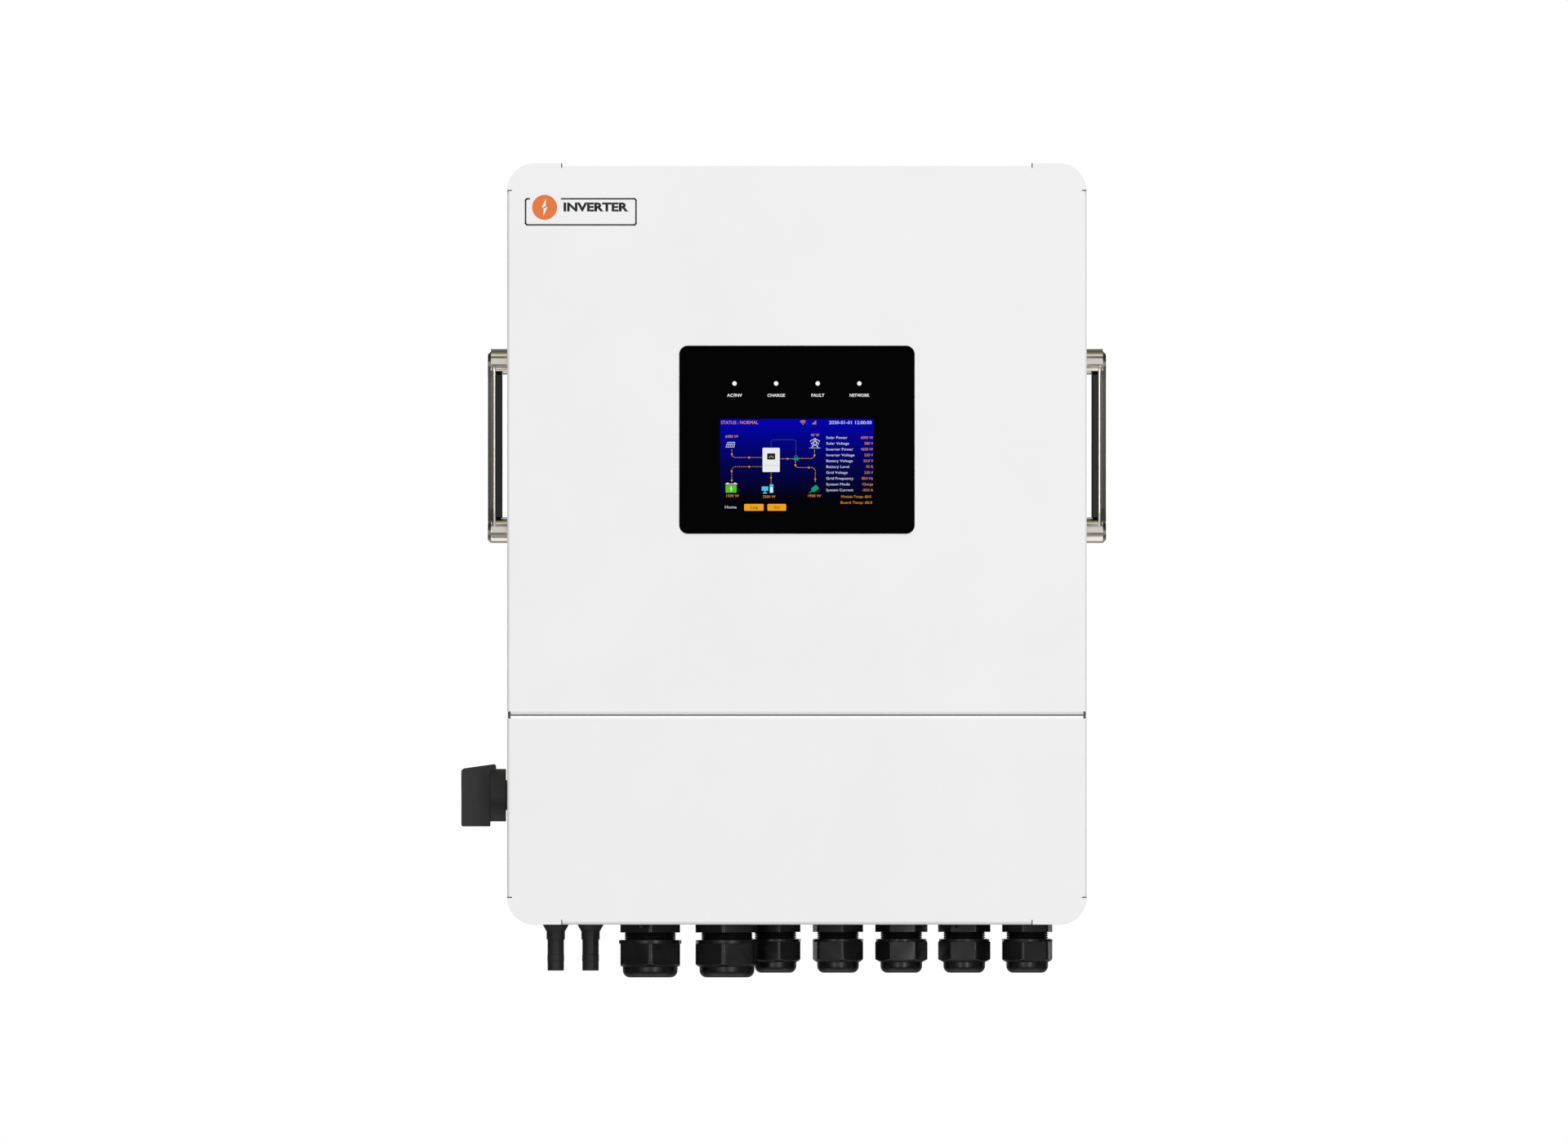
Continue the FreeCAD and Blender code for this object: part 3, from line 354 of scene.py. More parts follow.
def solder_mask():
    """Green solder mask over glass epoxy, with the copper tracks standing through it."""
    material, shader, place = start_material("solder_mask", IOR=1.5)
    cells = add_node(
        place.id_data, "TexVoronoi", {"Scale": 1 / (7 * MM), "Randomness": 0.6}, {"Vector": place},
        distance="CHEBYCHEV", feature="F1").outputs["Distance"]
    feed(shader, "Base Color", ramp(cells, ((0.42, "0E5A34"), (0.46, "1C7A4A"))))
    rough(shader, noise(place, 5 * MM), 0.28, 0.42)
    emboss(shader, (cells, 0.03 * MM))
    return material


def cast_ferrite():
    """Fired ferrite under varnished copper windings: dark grey-brown with turns."""
    material, shader, place = start_material("cast_ferrite")
    turns = add_node(
        place.id_data, "TexWave", {"Scale": 1 / (6 * MM), "Distortion": 0.4}, {"Vector": place},
        bands_direction="DIAGONAL").outputs["Fac"]
    tint(shader, turns, "5A2D16", "8A4A24")
    rough(shader, turns, 0.25, 0.5)
    emboss(shader, (turns, 0.3 * MM))
    return material


def machined_brass():
    """Machined brass of the earth bar: yellow metal with cutter lines and light tarnish."""
    return surface(
        "machined_brass", (6 * MM, 4), ("A8843E", "CDA861"), (0.22, 0.42),
        (0.006 * MM, 0.3 * MM, 2, (0.05, 1, 1)), Metallic=1.0)


def clear_acrylic():
    """Diffusing acrylic of the lights: milky white with a soft bloom inside."""
    return surface(
        "clear_acrylic", (1.5 * MM, 2), ("F2F4F6", "FFFFFF"), (0.2, 0.35),
        Emission_Strength=0.55, Emission_Color=rgba("FFFFFF"))


def ink(name, tone):
    """Screen-printed ink: satin, a little patchy where the mesh laid it down."""
    return surface(name, (0.6 * MM, 2), (shade(tone, 0.94), shade(tone, 1.0)), (0.4, 0.55))


def start_screen(name):
    """New material that only glows, as a lit screen does."""
    return start_material(
        name, Roughness=0.05, Specular_IOR_Level=0.02, Base_Color=rgba("000000"), Emission_Strength=1.0)


def lit(name, tone):
    """Lit part of the liquid crystal screen. Its rows of pixels are drawn 0.6 mm apart,
    coarser than the real 0.135 mm, so that they can show at all."""
    material, shader, place = start_screen(name)
    rows = add_node(
        place.id_data, "TexWave", {"Scale": 1 / (6 * 0.6 * MM)}, {"Vector": place}, bands_direction="Z")
    feed(shader, "Emission Color", ramp(rows.outputs["Fac"], ((0.0, shade(tone, 0.94)), (1.0, tone))))
    return material


def backlit_blue(low_z, high_z):
    """Backlit background of the screen: blue at the top that fades to black."""
    material, shader, place = start_screen("backlit_blue")
    height = add_node(place.id_data, "SeparateXYZ", links={"Vector": place}).outputs["Z"]
    feed(shader, "Emission Color", ramp(remap(height, low_z, high_z), (
        (0.0, "000000"), (0.16, "00000C"), (0.5, "00004C"), (0.78, "000084"), (1.0, "0000AD"))))
    return material


FINISHES = {
    "white_powder_coat": powder_coat,
    "zinc_plated_steel": zinc_plate,
    "black_oxide_steel": black_oxide,
    "epdm_rubber": epdm_rubber,
    "display_glass": printed_glass,
    "screen": fan_plastic,
    "black_abs": fan_plastic,
    "circuit_board": solder_mask,
    "clear_acrylic": clear_acrylic,
    "ferrite": cast_ferrite,
    "grey_polyamide": grey_polyamide,
    "tinned_shell": zinc_plate,
    "brass": machined_brass,
    "black_nylon": glass_filled_nylon,
    "extruded_aluminium": extruded_aluminium,
    "polished_nickel": polished_nickel,
}


def material_of(maker):
    """The material that maker makes, made once."""
    return bpy.data.materials.get(maker.__name__) or maker()


def finish_of(node):
    return material_of(FINISHES[SLOT_OF[node]])


# ------------ modelling helpers
def select_only(*objects):
    bpy.ops.object.select_all(action="DESELECT")
    for each in objects:
        each.select_set(True)
    bpy.context.view_layer.objects.active = objects[0]


def wear(piece, material):
    piece.data.materials.clear()
    piece.data.materials.append(material)


def settle(piece, name, material, body, slot, *nodes):
    """Names a finished piece, gives it its material, and makes it ride on its body."""
    piece.name = name
    piece.data.name = name
    wear(piece, material)
    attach(piece, body)
    if nodes:
        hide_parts(*nodes)
    return piece


def add_modifier(piece, kind, **settings):
    """Adds a modifier with its settings and applies it."""
    bpy.ops.object.modifier_add(type=kind)
    added = piece.modifiers[-1]
    for key, value in settings.items():
        setattr(added, key, value)
    bpy.ops.object.modifier_apply(modifier=added.name)


def smooth(piece, angle=32):
    """Shades curved faces smooth and keeps the large flat ones flat."""
    select_only(piece)
    bpy.ops.object.shade_smooth_by_angle(angle=math.radians(angle))
    add_modifier(piece, "WEIGHTED_NORMAL", keep_sharp=True)


def ease_edges(piece, width, segments=2, angle=32):
    """Rounds the sharp edges of a piece and shades the rest smooth."""
    select_only(piece)
    add_modifier(
        piece, "BEVEL", width=width, segments=segments, limit_method="ANGLE",
        angle_limit=math.radians(angle), use_clamp_overlap=False)
    smooth(piece, angle)


def copy_of(node):
    """A merged copy of a node's shape, with its flat areas joined into whole faces."""
    select_only(NODES[node])
    bpy.ops.object.duplicate()
    piece = bpy.context.active_object
    bpy.ops.object.parent_clear(type="CLEAR")
    del piece["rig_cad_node"]
    bpy.ops.object.mode_set(mode="EDIT")
    bpy.ops.mesh.select_all(action="SELECT")
    bpy.ops.mesh.customdata_custom_splitnormals_clear()
    bpy.ops.mesh.remove_doubles(threshold=0.002 * MM)
    bpy.ops.mesh.dissolve_limited(angle_limit=math.radians(0.4))
    bpy.ops.object.mode_set(mode="OBJECT")
    return piece


def replace_node(node, piece, material=None, name=None):
    """Settles a piece in place of a node, on the node's own body, with the finish of the node's slot unless a
    material is given.
    """
    return settle(
        piece, name or node + "_finished", material or finish_of(node), BODY_OF[node], SLOT_OF[node], node)


def finish_node(node, width, material=None):
    """Replaces a node by its own shape with eased edges and its material."""
    piece = copy_of(node)
    if width:
        ease_edges(piece, width)
    else:
        smooth(piece)
    replace_node(node, piece, material)


def finish_nodes(nodes, width):
    for node in nodes:
        finish_node(node, width)


def pick(piece, kind, test):
    """Selects only the vertices, edges or faces whose middle passes a test, in edit mode."""
    bpy.ops.object.mode_set(mode="EDIT")
    bpy.ops.mesh.select_mode(type={"vertices": "VERT", "edges": "EDGE", "polygons": "FACE"}[kind])
    bpy.ops.mesh.select_all(action="DESELECT")
    bpy.ops.object.mode_set(mode="OBJECT")
    corners = piece.data.vertices
    for part in getattr(piece.data, kind):
        places = [part.co] if kind == "vertices" else [corners[k].co for k in part.vertices]
        part.select = test(sum(places, Vector()) / len(places), places)
    bpy.ops.object.mode_set(mode="EDIT")


def done_editing():
    bpy.ops.mesh.select_mode(type="VERT")
    bpy.ops.object.mode_set(mode="OBJECT")


def sized(scale, whole=False):
    """The piece just added, its scale applied, and its place and turn too when whole."""
    piece = bpy.context.active_object
    piece.scale = scale
    bpy.ops.object.transform_apply(location=whole, rotation=whole, scale=True)
    return piece


def box_at(low, high):
    """Cuboid between two corners, its place kept in its mesh."""
    low, high = Vector(low), Vector(high)
    bpy.ops.mesh.primitive_cube_add(size=1, location=(low + high) / 2)
    return sized(high - low, whole=True)


def round_bar(start, end, radius, sides=64):
    """Cylinder from start to end, its place kept in its mesh."""
    start, end = Vector(start), Vector(end)
    bpy.ops.mesh.primitive_cylinder_add(
        vertices=sides, radius=radius, depth=(end - start).length, location=(start + end) / 2,
        rotation=(end - start).to_track_quat("Z", "Y").to_euler())
    return sized((1, 1, 1), whole=True)


def unite(piece, *others):
    """Fuses other pieces into one closed shape."""
    for other in others:
        select_only(piece)
        add_modifier(piece, "BOOLEAN", operation="UNION", solver="EXACT", object=other)
        select_only(other)
        bpy.ops.object.delete()
    select_only(piece)
    return piece


def mirror_over_x(piece):
    """Adds the same shape on the other side of the enclosure."""
    select_only(piece)
    add_modifier(piece, "MIRROR", use_axis=(True, False, False), use_clip=False, use_mirror_merge=False)


# ------------ flat prints
CAP_SHARE = 0.729        # height of a capital as a share of the font's size
PRINT_DEPTH = 0.02 * MM


def facing_front(turn=0.0):
    """Rotation of a flat shape that faces the front, turned anticlockwise."""
    return (math.pi / 2, -turn, 0)


def patch(x, z, y, width, height, corner=0.0, turn=0.0):
    """Flat rectangle that faces the front, with its centre at x, z."""
    bpy.ops.mesh.primitive_plane_add(size=1, location=(x, y, z), rotation=facing_front(turn))
    piece = sized((width, height, 1))
    if corner:
        add_modifier(piece, "BEVEL", affect="VERTICES", width=corner, segments=5)
    return piece


def disc(x, z, y, radius, sides=24, turn=0.0, stretch=1.0):
    """Flat disc that faces the front; three sides make an arrowhead that points up."""
    bpy.ops.mesh.primitive_circle_add(
        vertices=sides, radius=radius, fill_type="NGON", location=(x, y, z), rotation=facing_front(turn))
    return sized((1, stretch, 1))


def hollowed(piece, line):
    """Leaves only the border of a flat shape, as wide as line."""
    bpy.ops.object.mode_set(mode="EDIT")
    bpy.ops.mesh.select_all(action="SELECT")
    bpy.ops.mesh.inset(thickness=line)
    bpy.ops.mesh.delete(type="FACE")
    bpy.ops.object.mode_set(mode="OBJECT")
    return piece


def stroke(points, y, width, dash=0.0, gap=0.0):
    """Line of flat bars through (x, z) points, whole or dashed."""
    bars = []
    for (x0, z0), (x1, z1) in zip(points, points[1:]):
        run = math.hypot(x1 - x0, z1 - z0)
        turn = math.atan2(z1 - z0, x1 - x0)
        count = max(1, round(run / (dash + gap))) if dash else 1
        bar = run / count - gap if dash else run + width
        for k in range(count):
            share = (k + 0.5) / count
            bars.append(patch(x0 + (x1 - x0) * share, z0 + (z1 - z0) * share, y, bar, width, 0, turn))
    return bars


def bolt(x, z, y, size):
    """Lightning bolt of two slanting triangles, about five times size tall."""
    lean = math.radians(14)
    return [
        disc(x + way * 0.06 * size, z - way * 0.83 * size, y, 0.65 * size, 3, turn - lean, 3.0)
        for way, turn in ((-1, 0.0), (1, math.pi))]


def words(text, x, z, y, height, side="CENTER", width=None, weight=0.0):
    """Lettering whose capitals are height tall, set from x, or squeezed to a width."""
    bpy.ops.object.text_add(location=(x, y, z - height / 2), rotation=facing_front())
    line = bpy.context.active_object
    line.data.body = text
    line.data.size = height / CAP_SHARE
    line.data.align_x = side
    line.data.resolution_u = 3
    line.data.offset = weight
    if width:
        bpy.context.view_layer.update()
        line.scale.x = width / line.dimensions.x
    return line


def printed(parts, name, material, slot, body="enclosure"):
    """Joins flat shapes into one print with a little thickness behind its face."""
    select_only(*parts)
    bpy.ops.object.convert(target="MESH")
    bpy.ops.object.transform_apply(location=True, rotation=True, scale=True)
    if len(parts) > 1:
        bpy.ops.object.join()
    piece = bpy.context.active_object
    add_modifier(piece, "SOLIDIFY", thickness=PRINT_DEPTH, offset=-1)
    return settle(piece, name, material, body, slot)


# ------------ marks on the screen
# Places and sizes are in mm from the lower left corner of the lit area.
def tile(u, v, wide, tall, corner=0.0, turn=0.0, level=2):
    return patch(*spot(u, v), layer(level), wide * MM, tall * MM, corner * MM, turn)


def trace(points, width, dash=0.0, gap=0.0):
    return stroke([spot(*point) for point in points], layer(2), width * MM, dash * MM, gap * MM)


def text_at(text, u, v, wide=None, tall=1.9, side="CENTER", level=2):
    return words(text, *spot(u, v), layer(level), tall * MM, side, wide * MM if wide else None)


# ------------ operators
class INVERTER_OT_enclosure(bpy.types.Operator):
    """Paint and ease the covers and the chassis"""

    bl_idname = "inverter.enclosure"
    bl_label = "Enclosure"

    def execute(self, context):
        edge = context.scene.inverter_enclosure.sheet_edge
        finish_nodes(
            ("upper_cover", "lower_cover", "left_side_panel", "right_side_panel", "top_panel",
             "gland_plate", "rear_panel", "divider_shelf"), edge)
        # the gaskets' black rubber also fills the bend-relief slits and the seam between the covers: painted
        # shade, dark rubber put where these open gaps would only show shadow
        finish_nodes(("upper_gasket", "lower_gasket"), 0)
        self.grey_seam_ends(bpy.data.objects["upper_gasket_finished"])
        finish_nodes(("upper_cover_screws", "lower_cover_screws"), 0.15 * MM)
        return {"FINISHED"}

    def grey_seam_ends(self, gasket):
        """Gives the end blocks of the seam's seal a greyer rubber than the rest: painted shade for the
        shadowed notches at the seam's ends.
        """
        select_only(gasket)
        pick(gasket, "polygons", lambda middle, _: abs(middle.x) > RIGHT_X - 2.5 * MM
             and middle.z < LOWER[1].z + 4 * MM)
        bpy.ops.object.material_slot_add()
        # grey rubber on the end blocks is painted shade for the dark notches at the seam's ends
        gasket.material_slots[-1].material = material_of(painted_shade_rubber)
        bpy.ops.object.material_slot_assign()
        done_editing()


class INVERTER_OT_badge(bpy.types.Operator):
    """Print the generic badge on the upper cover"""

    bl_idname = "inverter.badge"
    bl_label = "Badge"

    def execute(self, context):
        prints = context.scene.inverter_prints
        width, height, line = 77.75 * MM, 18.35 * MM, 1.1 * MM
        y, corner, gap_x = FACE_Y - 0.03 * MM, 1.0 * MM, 25.4 * MM
        x0 = LEFT_X + prints.badge_gap
        x1 = x0 + width
        z1 = UPPER[1].z - 25.1 * MM
        z0 = z1 - height
        outline = stroke([
            (x0 + gap_x, z1), (x1 - corner, z1), (x1, z1 - corner), (x1, z0 + corner), (x1 - corner, z0),
            (x0 + corner, z0), (x0, z0 + corner), (x0, z1 - corner), (x0 + corner, z1),
            (x0 + 2.6 * MM, z1)], y, line)
        word = words(
            prints.badge_word, x0 + 26.4 * MM, z1 - 5.6 * MM, y, 6.0 * MM, "LEFT", 45.5 * MM, 0.34 * MM)
        black = ink("badge_ink", prints.badge_ink)
        printed(outline + [word], "badge_word_and_outline", black, "white_powder_coat")
        mark_x, mark_z, mark_r = x0 + 13.4 * MM, z1 - 6.0 * MM, 8.8 * MM
        printed([disc(mark_x, mark_z, y, mark_r, 64)], "badge_disc",
                ink("badge_accent", prints.badge_accent), "white_powder_coat")
        printed(bolt(mark_x, mark_z, y - 0.03 * MM, 2.3 * MM), "badge_bolt",
                ink("badge_white", linear("F4F4F4")), "white_powder_coat")
        return {"FINISHED"}


class INVERTER_OT_display(bpy.types.Operator):
    """Model the display glass, its status lights and their labels"""

    bl_idname = "inverter.display"
    bl_label = "Display glass"

    def execute(self, context):
        glass = copy_of("display_glass")
        pick(glass, "vertices", lambda middle, _: middle.y < GLASS[0].y + 0.1 * MM)
        bpy.ops.transform.translate(value=(0, GLASS_FRONT - GLASS[0].y, 0))
        done_editing()
        ease_edges(glass, 0.25 * MM, 3)
        replace_node("display_glass", glass)
        low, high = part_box("led_light_pipes")
        radius = (high.z - low.z) / 2
        pitch = (high.x - low.x - 2 * radius) / 3
        xs = [low.x + radius + pitch * k for k in range(4)]
        z = (low.z + high.z) / 2
        lights = [disc(x, z, layer(1), 1.55 * MM) for x in xs]
        printed(lights, "status_light_windows", material_of(clear_acrylic), "clear_acrylic")
        labels = (("AC/INV", 10.7), ("CHARGE", 12.4), ("FAULT", 9.2), ("NETWORK", 14.0))
        lettering = [
            words(text, x, z - 8.3 * MM, layer(1), 2.2 * MM, width=wide * MM, weight=0.07 * MM)
            for x, (text, wide) in zip(xs, labels)]
        white = ink("label_ink", context.scene.inverter_prints.label_ink)
        printed(lettering, "status_light_labels", white, "display_glass")
        return {"FINISHED"}


class INVERTER_OT_screen(bpy.types.Operator):
    """Draw the energy flow and the readings on the screen"""

    bl_idname = "inverter.screen"
    bl_label = "Screen"

    def execute(self, context):
        prints = context.scene.inverter_prints
        back = patch(*spot(SCREEN_W / 2, SCREEN_H / 2), layer(1), SCREEN_W * MM, SCREEN_H * MM)
        printed([back], "screen_background", backlit_blue(SCREEN_Z0, SCREEN_Z0 + SCREEN_H * MM), "screen")
        tones = {
            "orange": linear("E0913A"), "pale": prints.pale, "white": linear("EDEDF2"), "amber": prints.amber,
            "green": linear("0F9E6E"), "slate": linear("3E4470"), "leaf": linear("55C61F"),
            "cyan": linear("49C3E8"), "dark": linear("23200F")}
        glow = {name: lit("lit_" + name, tone) for name, tone in tones.items()}
        for name, tone in (
                ("readings", "orange"), ("labels", "pale"), ("flows", "amber"), ("bypass_line", "slate"),
                ("inverter_icon", "white"), ("solar_and_grid_icons", "pale"), ("battery_icon", "leaf"),
                ("socket_icons", "green"), ("computer_icon", "cyan"), ("dark_marks", "dark"),
                ("white_marks", "white")):
            printed(getattr(self, name)(), "screen_" + name, glow[tone], "screen")
        return {"FINISHED"}

    def readings(self):
        """Orange text."""
        rows = (
            "6000 W", "380 V", "4200 W", "230 V", "52.0 V", "70 %", "230 V", "50.0 Hz", "Charge", "-20.0 A")
        shown = [text_at(text, 107.6, ROW_V - ROW_PITCH * k, side="RIGHT") for k, text in enumerate(rows)]
        shown += [
            text_at(text, u, v, wide) for text, u, v, wide in (
                ("6000 W", 8.1, 52.6, 9.0), ("40 W", 66.8, 53.6, 6.1), ("1500 W", 8.5, 10.8, 9.0),
                ("2500 W", 34.4, 10.2, 9.0), ("1900 W", 66.1, 10.8, 9.0),
                ("Module Temp: 60.0", 95.7, 10.2, 21.0), ("Board Temp: 60.0", 95.8, 6.1, 22.1))]
        shown.append(text_at("STATUS : NORMAL", 0.4, 62.4, 26.2, 2.4, "LEFT"))
        return shown + self.signals()

    def signals(self):
        """Three arcs over a dot, and four rising bars."""
        u, v = 58.2, 61.1
        marks = [disc(*spot(u, v), layer(2), 0.35 * MM, 12)]
        for radius in (1.1, 1.9, 2.7):
            angles = [math.radians(a) for a in range(45, 136, 15)]
            marks += trace([(u + radius * math.cos(a), v + radius * math.sin(a)) for a in angles], 0.35)
        for k in range(4):
            tall = 0.8 + 0.6 * k
            marks.append(tile(65.0 + 0.75 * k, 61.0 + tall / 2, 0.45, tall))
        return marks

    def labels(self):
        """Pale text."""
        rows = (
            ("Solar Power", 14.9), ("Solar Voltage", 16.1), ("Inverter Power", 18.9),
            ("Inverter Voltage", 19.8), ("Battery Voltage", 18.6), ("Battery Level", 16.0),
            ("Grid Voltage", 15.0), ("Grid Frequency", 19.1), ("System Mode", 16.6), ("System Current", 19.1))
        shown = [
            text_at(text, 74.5, ROW_V - ROW_PITCH * k, wide, side="LEFT")
            for k, (text, wide) in enumerate(rows)]
        shown.append(text_at("2030-01-01 12:00:00", 91.6, 62.4, 30, 2.4))
        shown.append(text_at("Home", 7.3, 2.9, 8.1, 2.1))
        return shown

    def flows(self):
        """Dashed flow lines with their arrowheads, and the two buttons."""
        up_turn = {"down": math.pi, "left": math.pi / 2, "right": -math.pi / 2}
        lines = (
            ((8.2, 43.7), (8.2, 39.1), (9.8, 37.7), (29.6, 37.7)),
            ((29.6, 31.2), (9.8, 31.2), (8.1, 29.5), (8.1, 21.6)),
            ((35.8, 27.3), (35.8, 19.1)),
            ((42.1, 36.8), (51.7, 36.8)),
            ((55.0, 37.0), (64.8, 37.0), (66.4, 38.7), (66.4, 43.3)),
            ((52.9, 35.6), (52.9, 31.8), (54.4, 30.6), (65.2, 30.6), (66.9, 29.1), (66.9, 20.2)),
        )
        heads = (
            (8.2, 39.9, "down"), (20.4, 37.7, "right"), (20.2, 31.2, "left"), (8.1, 27.9, "down"),
            (8.1, 21.4, "down"), (35.8, 23.3, "down"), (47.5, 36.8, "right"), (66.4, 39.1, "down"),
            (52.9, 32.3, "down"), (62.5, 30.6, "right"), (66.9, 22.4, "down"),
        )
        marks = []
        for points in lines:
            marks += trace(points, 0.3, 1.0, 0.55)
        marks += [disc(*spot(u, v), layer(2), 0.9 * MM, 3, up_turn[way]) for u, v, way in heads]
        return marks + [tile(u, 2.6, wide, 4.8, 0.7) for u, wide in ((23.7, 13.7), (39.8, 13.2))]

    def bypass_line(self):
        route = ((35.8, 44.5), (35.8, 49.2), (36.8, 50.2), (52.3, 50.2), (53.3, 49.2), (53.3, 39.1))
        return trace(route, 0.3)

    def inverter_icon(self):
        return [tile(35.85, 36.0, 12.1, 17.0, 0.6)]

    def solar_and_grid_icons(self):
        """Outline of a solar panel, and a pylon."""
        thin, thick = 0.3, 0.4
        marks = []
        for k in range(5):
            marks += trace([(4.0 + 1.45 * k, 45.0), (5.3 + 1.25 * k, 48.4)], thin)
        for v, u0, u1 in ((45.0, 4.0, 9.8), (46.7, 4.65, 10.05), (48.4, 5.3, 10.3)):
            marks += trace([(u0, v), (u1, v)], thin)
        u = 66.7
        for side in (-1, 1):
            marks += trace([(u + 2.2 * side, 44.6), (u + 0.7 * side, 48.6), (u + 0.4 * side, 51.0)], thick)
            marks += trace([(u, 51.0), (u + 3.1 * side, 49.4), (u + 3.1 * side, 48.9)], thick)
            marks += trace([(u, 49.2), (u + 2.5 * side, 47.6), (u + 2.5 * side, 47.1)], thick)
            marks += trace([(u - 1.6 * side, 45.4), (u + 1.1 * side, 47.2)], thin)
        return marks + trace([(63.0, 44.4), (70.5, 44.4)], thin)

    def battery_icon(self):
        return [tile(7.65, 15.6, 7.7, 5.2, 0.4)]

    def socket_icons(self):
        """Current clamp and mains plug."""
        return [
            tile(53.35, 36.6, 3.3, 1.7, 0.3),
            hollowed(disc(*spot(53.35, 38.0), layer(2), 1.2 * MM, 20), 0.45 * MM),
            tile(66.6, 15.8, 5.0, 3.4, 0.8, math.radians(38)),
        ] + trace([(64.6, 14.2), (62.9, 12.9)], 0.6)

    def computer_icon(self):
        return [tile(31.5, 15.8, 4.6, 3.0, 0.3), tile(31.5, 13.7, 1.0, 0.9), tile(36.1, 15.8, 2.6, 6.2, 0.3)]

    def dark_marks(self):
        """Button words, the inverter icon's own screen and seam."""
        return [
            text_at("Log", 23.9, 2.7, 5.0, 2.0, level=3),
            text_at("Set", 39.9, 2.7, 4.3, 2.0, level=3),
            tile(35.85, 38.4, 5.7, 4.4, 0.4, level=3),
            tile(35.85, 32.0, 11.4, 0.12, level=3),
        ]

    def white_marks(self):
        """Bolt on the battery, its lid and posts, and small lights on the icons."""
        return bolt(*spot(7.7, 15.65), layer(3), 0.9 * MM) + [
            tile(u, v, wide, tall, level=3) for u, v, wide, tall in (
                (7.8, 19.0, 8.4, 0.55), (5.2, 19.6, 1.5, 0.6), (10.4, 19.6, 1.5, 0.6),
                (36.1, 15.0, 1.7, 3.6), (31.5, 12.7, 2.8, 0.4),
                (34.8, 38.0, 0.7, 0.5), (36.0, 38.6, 0.7, 0.5), (37.1, 37.9, 0.7, 0.5))]


class INVERTER_OT_handles(bpy.types.Operator):
    """Model the nickel-plated handles and their soft grips"""

    bl_idname = "inverter.handles"
    bl_label = "Handles"
    bar_thickness = 5.6 * MM

    def execute(self, context):
        low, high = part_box("handles")
        y, outer = (low.y + high.y) / 2, high.x
        radius = (high.y - low.y) / 2
        zs = (low.z + radius, high.z - radius)
        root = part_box("duct_sides")[1].x - 15.5 * MM
        posts = []
        for z in zs:
            post = round_bar((root, y, z), (outer, y, z), radius, 96)
            pick(post, "edges", lambda middle, ends: min(e.x for e in ends) > outer - 0.1 * MM)
            bpy.ops.mesh.bevel(offset=2.3 * MM, segments=1)
            done_editing()
            ease_edges(post, 0.25 * MM)
            posts.append(post)
        bar = self.bar(outer, y, zs)
        handle = unite(bar, *posts)
        smooth(handle, 30)
        mirror_over_x(handle)
        replace_node("handles", handle, name="handles_polished")
        self.grip(outer, y, zs, radius)
        finish_node("handle_screws", 0.3 * MM)
        return {"FINISHED"}

    def bar(self, outer, y, zs):
        """Bar with broad chamfers outside, which widens towards each post."""
        half, chamfer, flare = 6.8 * MM, 4.2 * MM, 16 * MM
        bar = box_at((outer - self.bar_thickness, y - half, zs[0]), (outer, y + half, zs[1]))
        pick(bar, "edges", lambda middle, _: abs(middle.x - outer) < MM and abs(middle.y - y) > MM
             and abs(middle.z - (zs[0] + zs[1]) / 2) < MM)
        bpy.ops.mesh.bevel(offset=chamfer, segments=1)
        for z in (zs[0] + flare, zs[1] - flare):
            bpy.ops.mesh.select_all(action="SELECT")
            bpy.ops.mesh.bisect(plane_co=(0, 0, z), plane_no=(0, 0, 1))
        done_editing()
        for z in zs:
            pick(bar, "vertices", lambda middle, _: abs(middle.z - z) < 0.1 * MM)
            bpy.ops.transform.resize(value=(1, 1.32, 1), center_override=(outer, y, z))
            done_editing()
        ease_edges(bar, 0.45 * MM, 3, 20)
        return bar

    def grip(self, outer, y, zs, radius):
        """Soft strip on the finger side, between the posts."""
        inner, thick = outer - self.bar_thickness, 4.8 * MM
        low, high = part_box("handle_grips")
        half, start, end = (high.y - low.y) / 2, zs[0] + radius, zs[1] - radius
        strip = box_at((inner - thick, y - half, start), (inner, y + half, end))
        pick(strip, "edges", lambda middle, _: middle.x < inner - thick + MM and abs(middle.y - y) > MM)
        bpy.ops.mesh.bevel(offset=1.8 * MM, segments=4)
        done_editing()
        ease_edges(strip, 0.25 * MM)
        mirror_over_x(strip)
        replace_node("handle_grips", strip)


class INVERTER_OT_switch(bpy.types.Operator):
    """Finish the solar switch and its knob"""

    bl_idname = "inverter.switch"
    bl_label = "Solar switch"

    def execute(self, context):
        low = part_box("dc_switch_knob")[0]
        knob = copy_of("dc_switch_knob")
        pick(knob, "vertices", lambda middle, _: middle.x < low.x + 0.05 * MM)
        bpy.ops.transform.translate(value=(0.1 * MM, 0, 0))
        done_editing()
        ease_edges(knob, 0.4 * MM, 3)
        replace_node("dc_switch_knob", knob, material_of(textured_abs))
        shaft_low, shaft_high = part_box("dc_switch_shaft")
        y, z = (shaft_low.y + shaft_high.y) / 2, (shaft_low.z + shaft_high.z) / 2
        white = ink("knob_ink", linear("E8E8E8"))
        pointer = box_at((low.x, y - 0.8 * MM, z + 3 * MM), (low.x + 0.15 * MM, y + 0.8 * MM, z + 16 * MM))
        ease_edges(pointer, 0.04 * MM)
        settle(pointer, "switch_index_line", white, "switch_knob", "black_abs")
        panel_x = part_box("left_side_panel")[0].x - 0.05 * MM
        marks = [self.sideways(text, panel_x, y + dy, z + dz)
                 for text, dy, dz in (("OFF", 0, 28 * MM), ("ON", 28 * MM, 0))]
        printed(marks, "switch_marks", ink("panel_ink", linear("2A2A2C")), "white_powder_coat")
        finish_node("dc_switch_shaft", 0.3 * MM)
        finish_node("dc_switch_body", 0.5 * MM)
        return {"FINISHED"}

    def sideways(self, text, x, y, z):
        """Lettering that faces the left side."""
        line = words(text, 0, 0, 0, 4.5 * MM, weight=0.1 * MM)
        line.rotation_euler = (math.pi / 2, 0, -math.pi / 2)
        line.location = (x, y, z - 2.2 * MM)
        return line


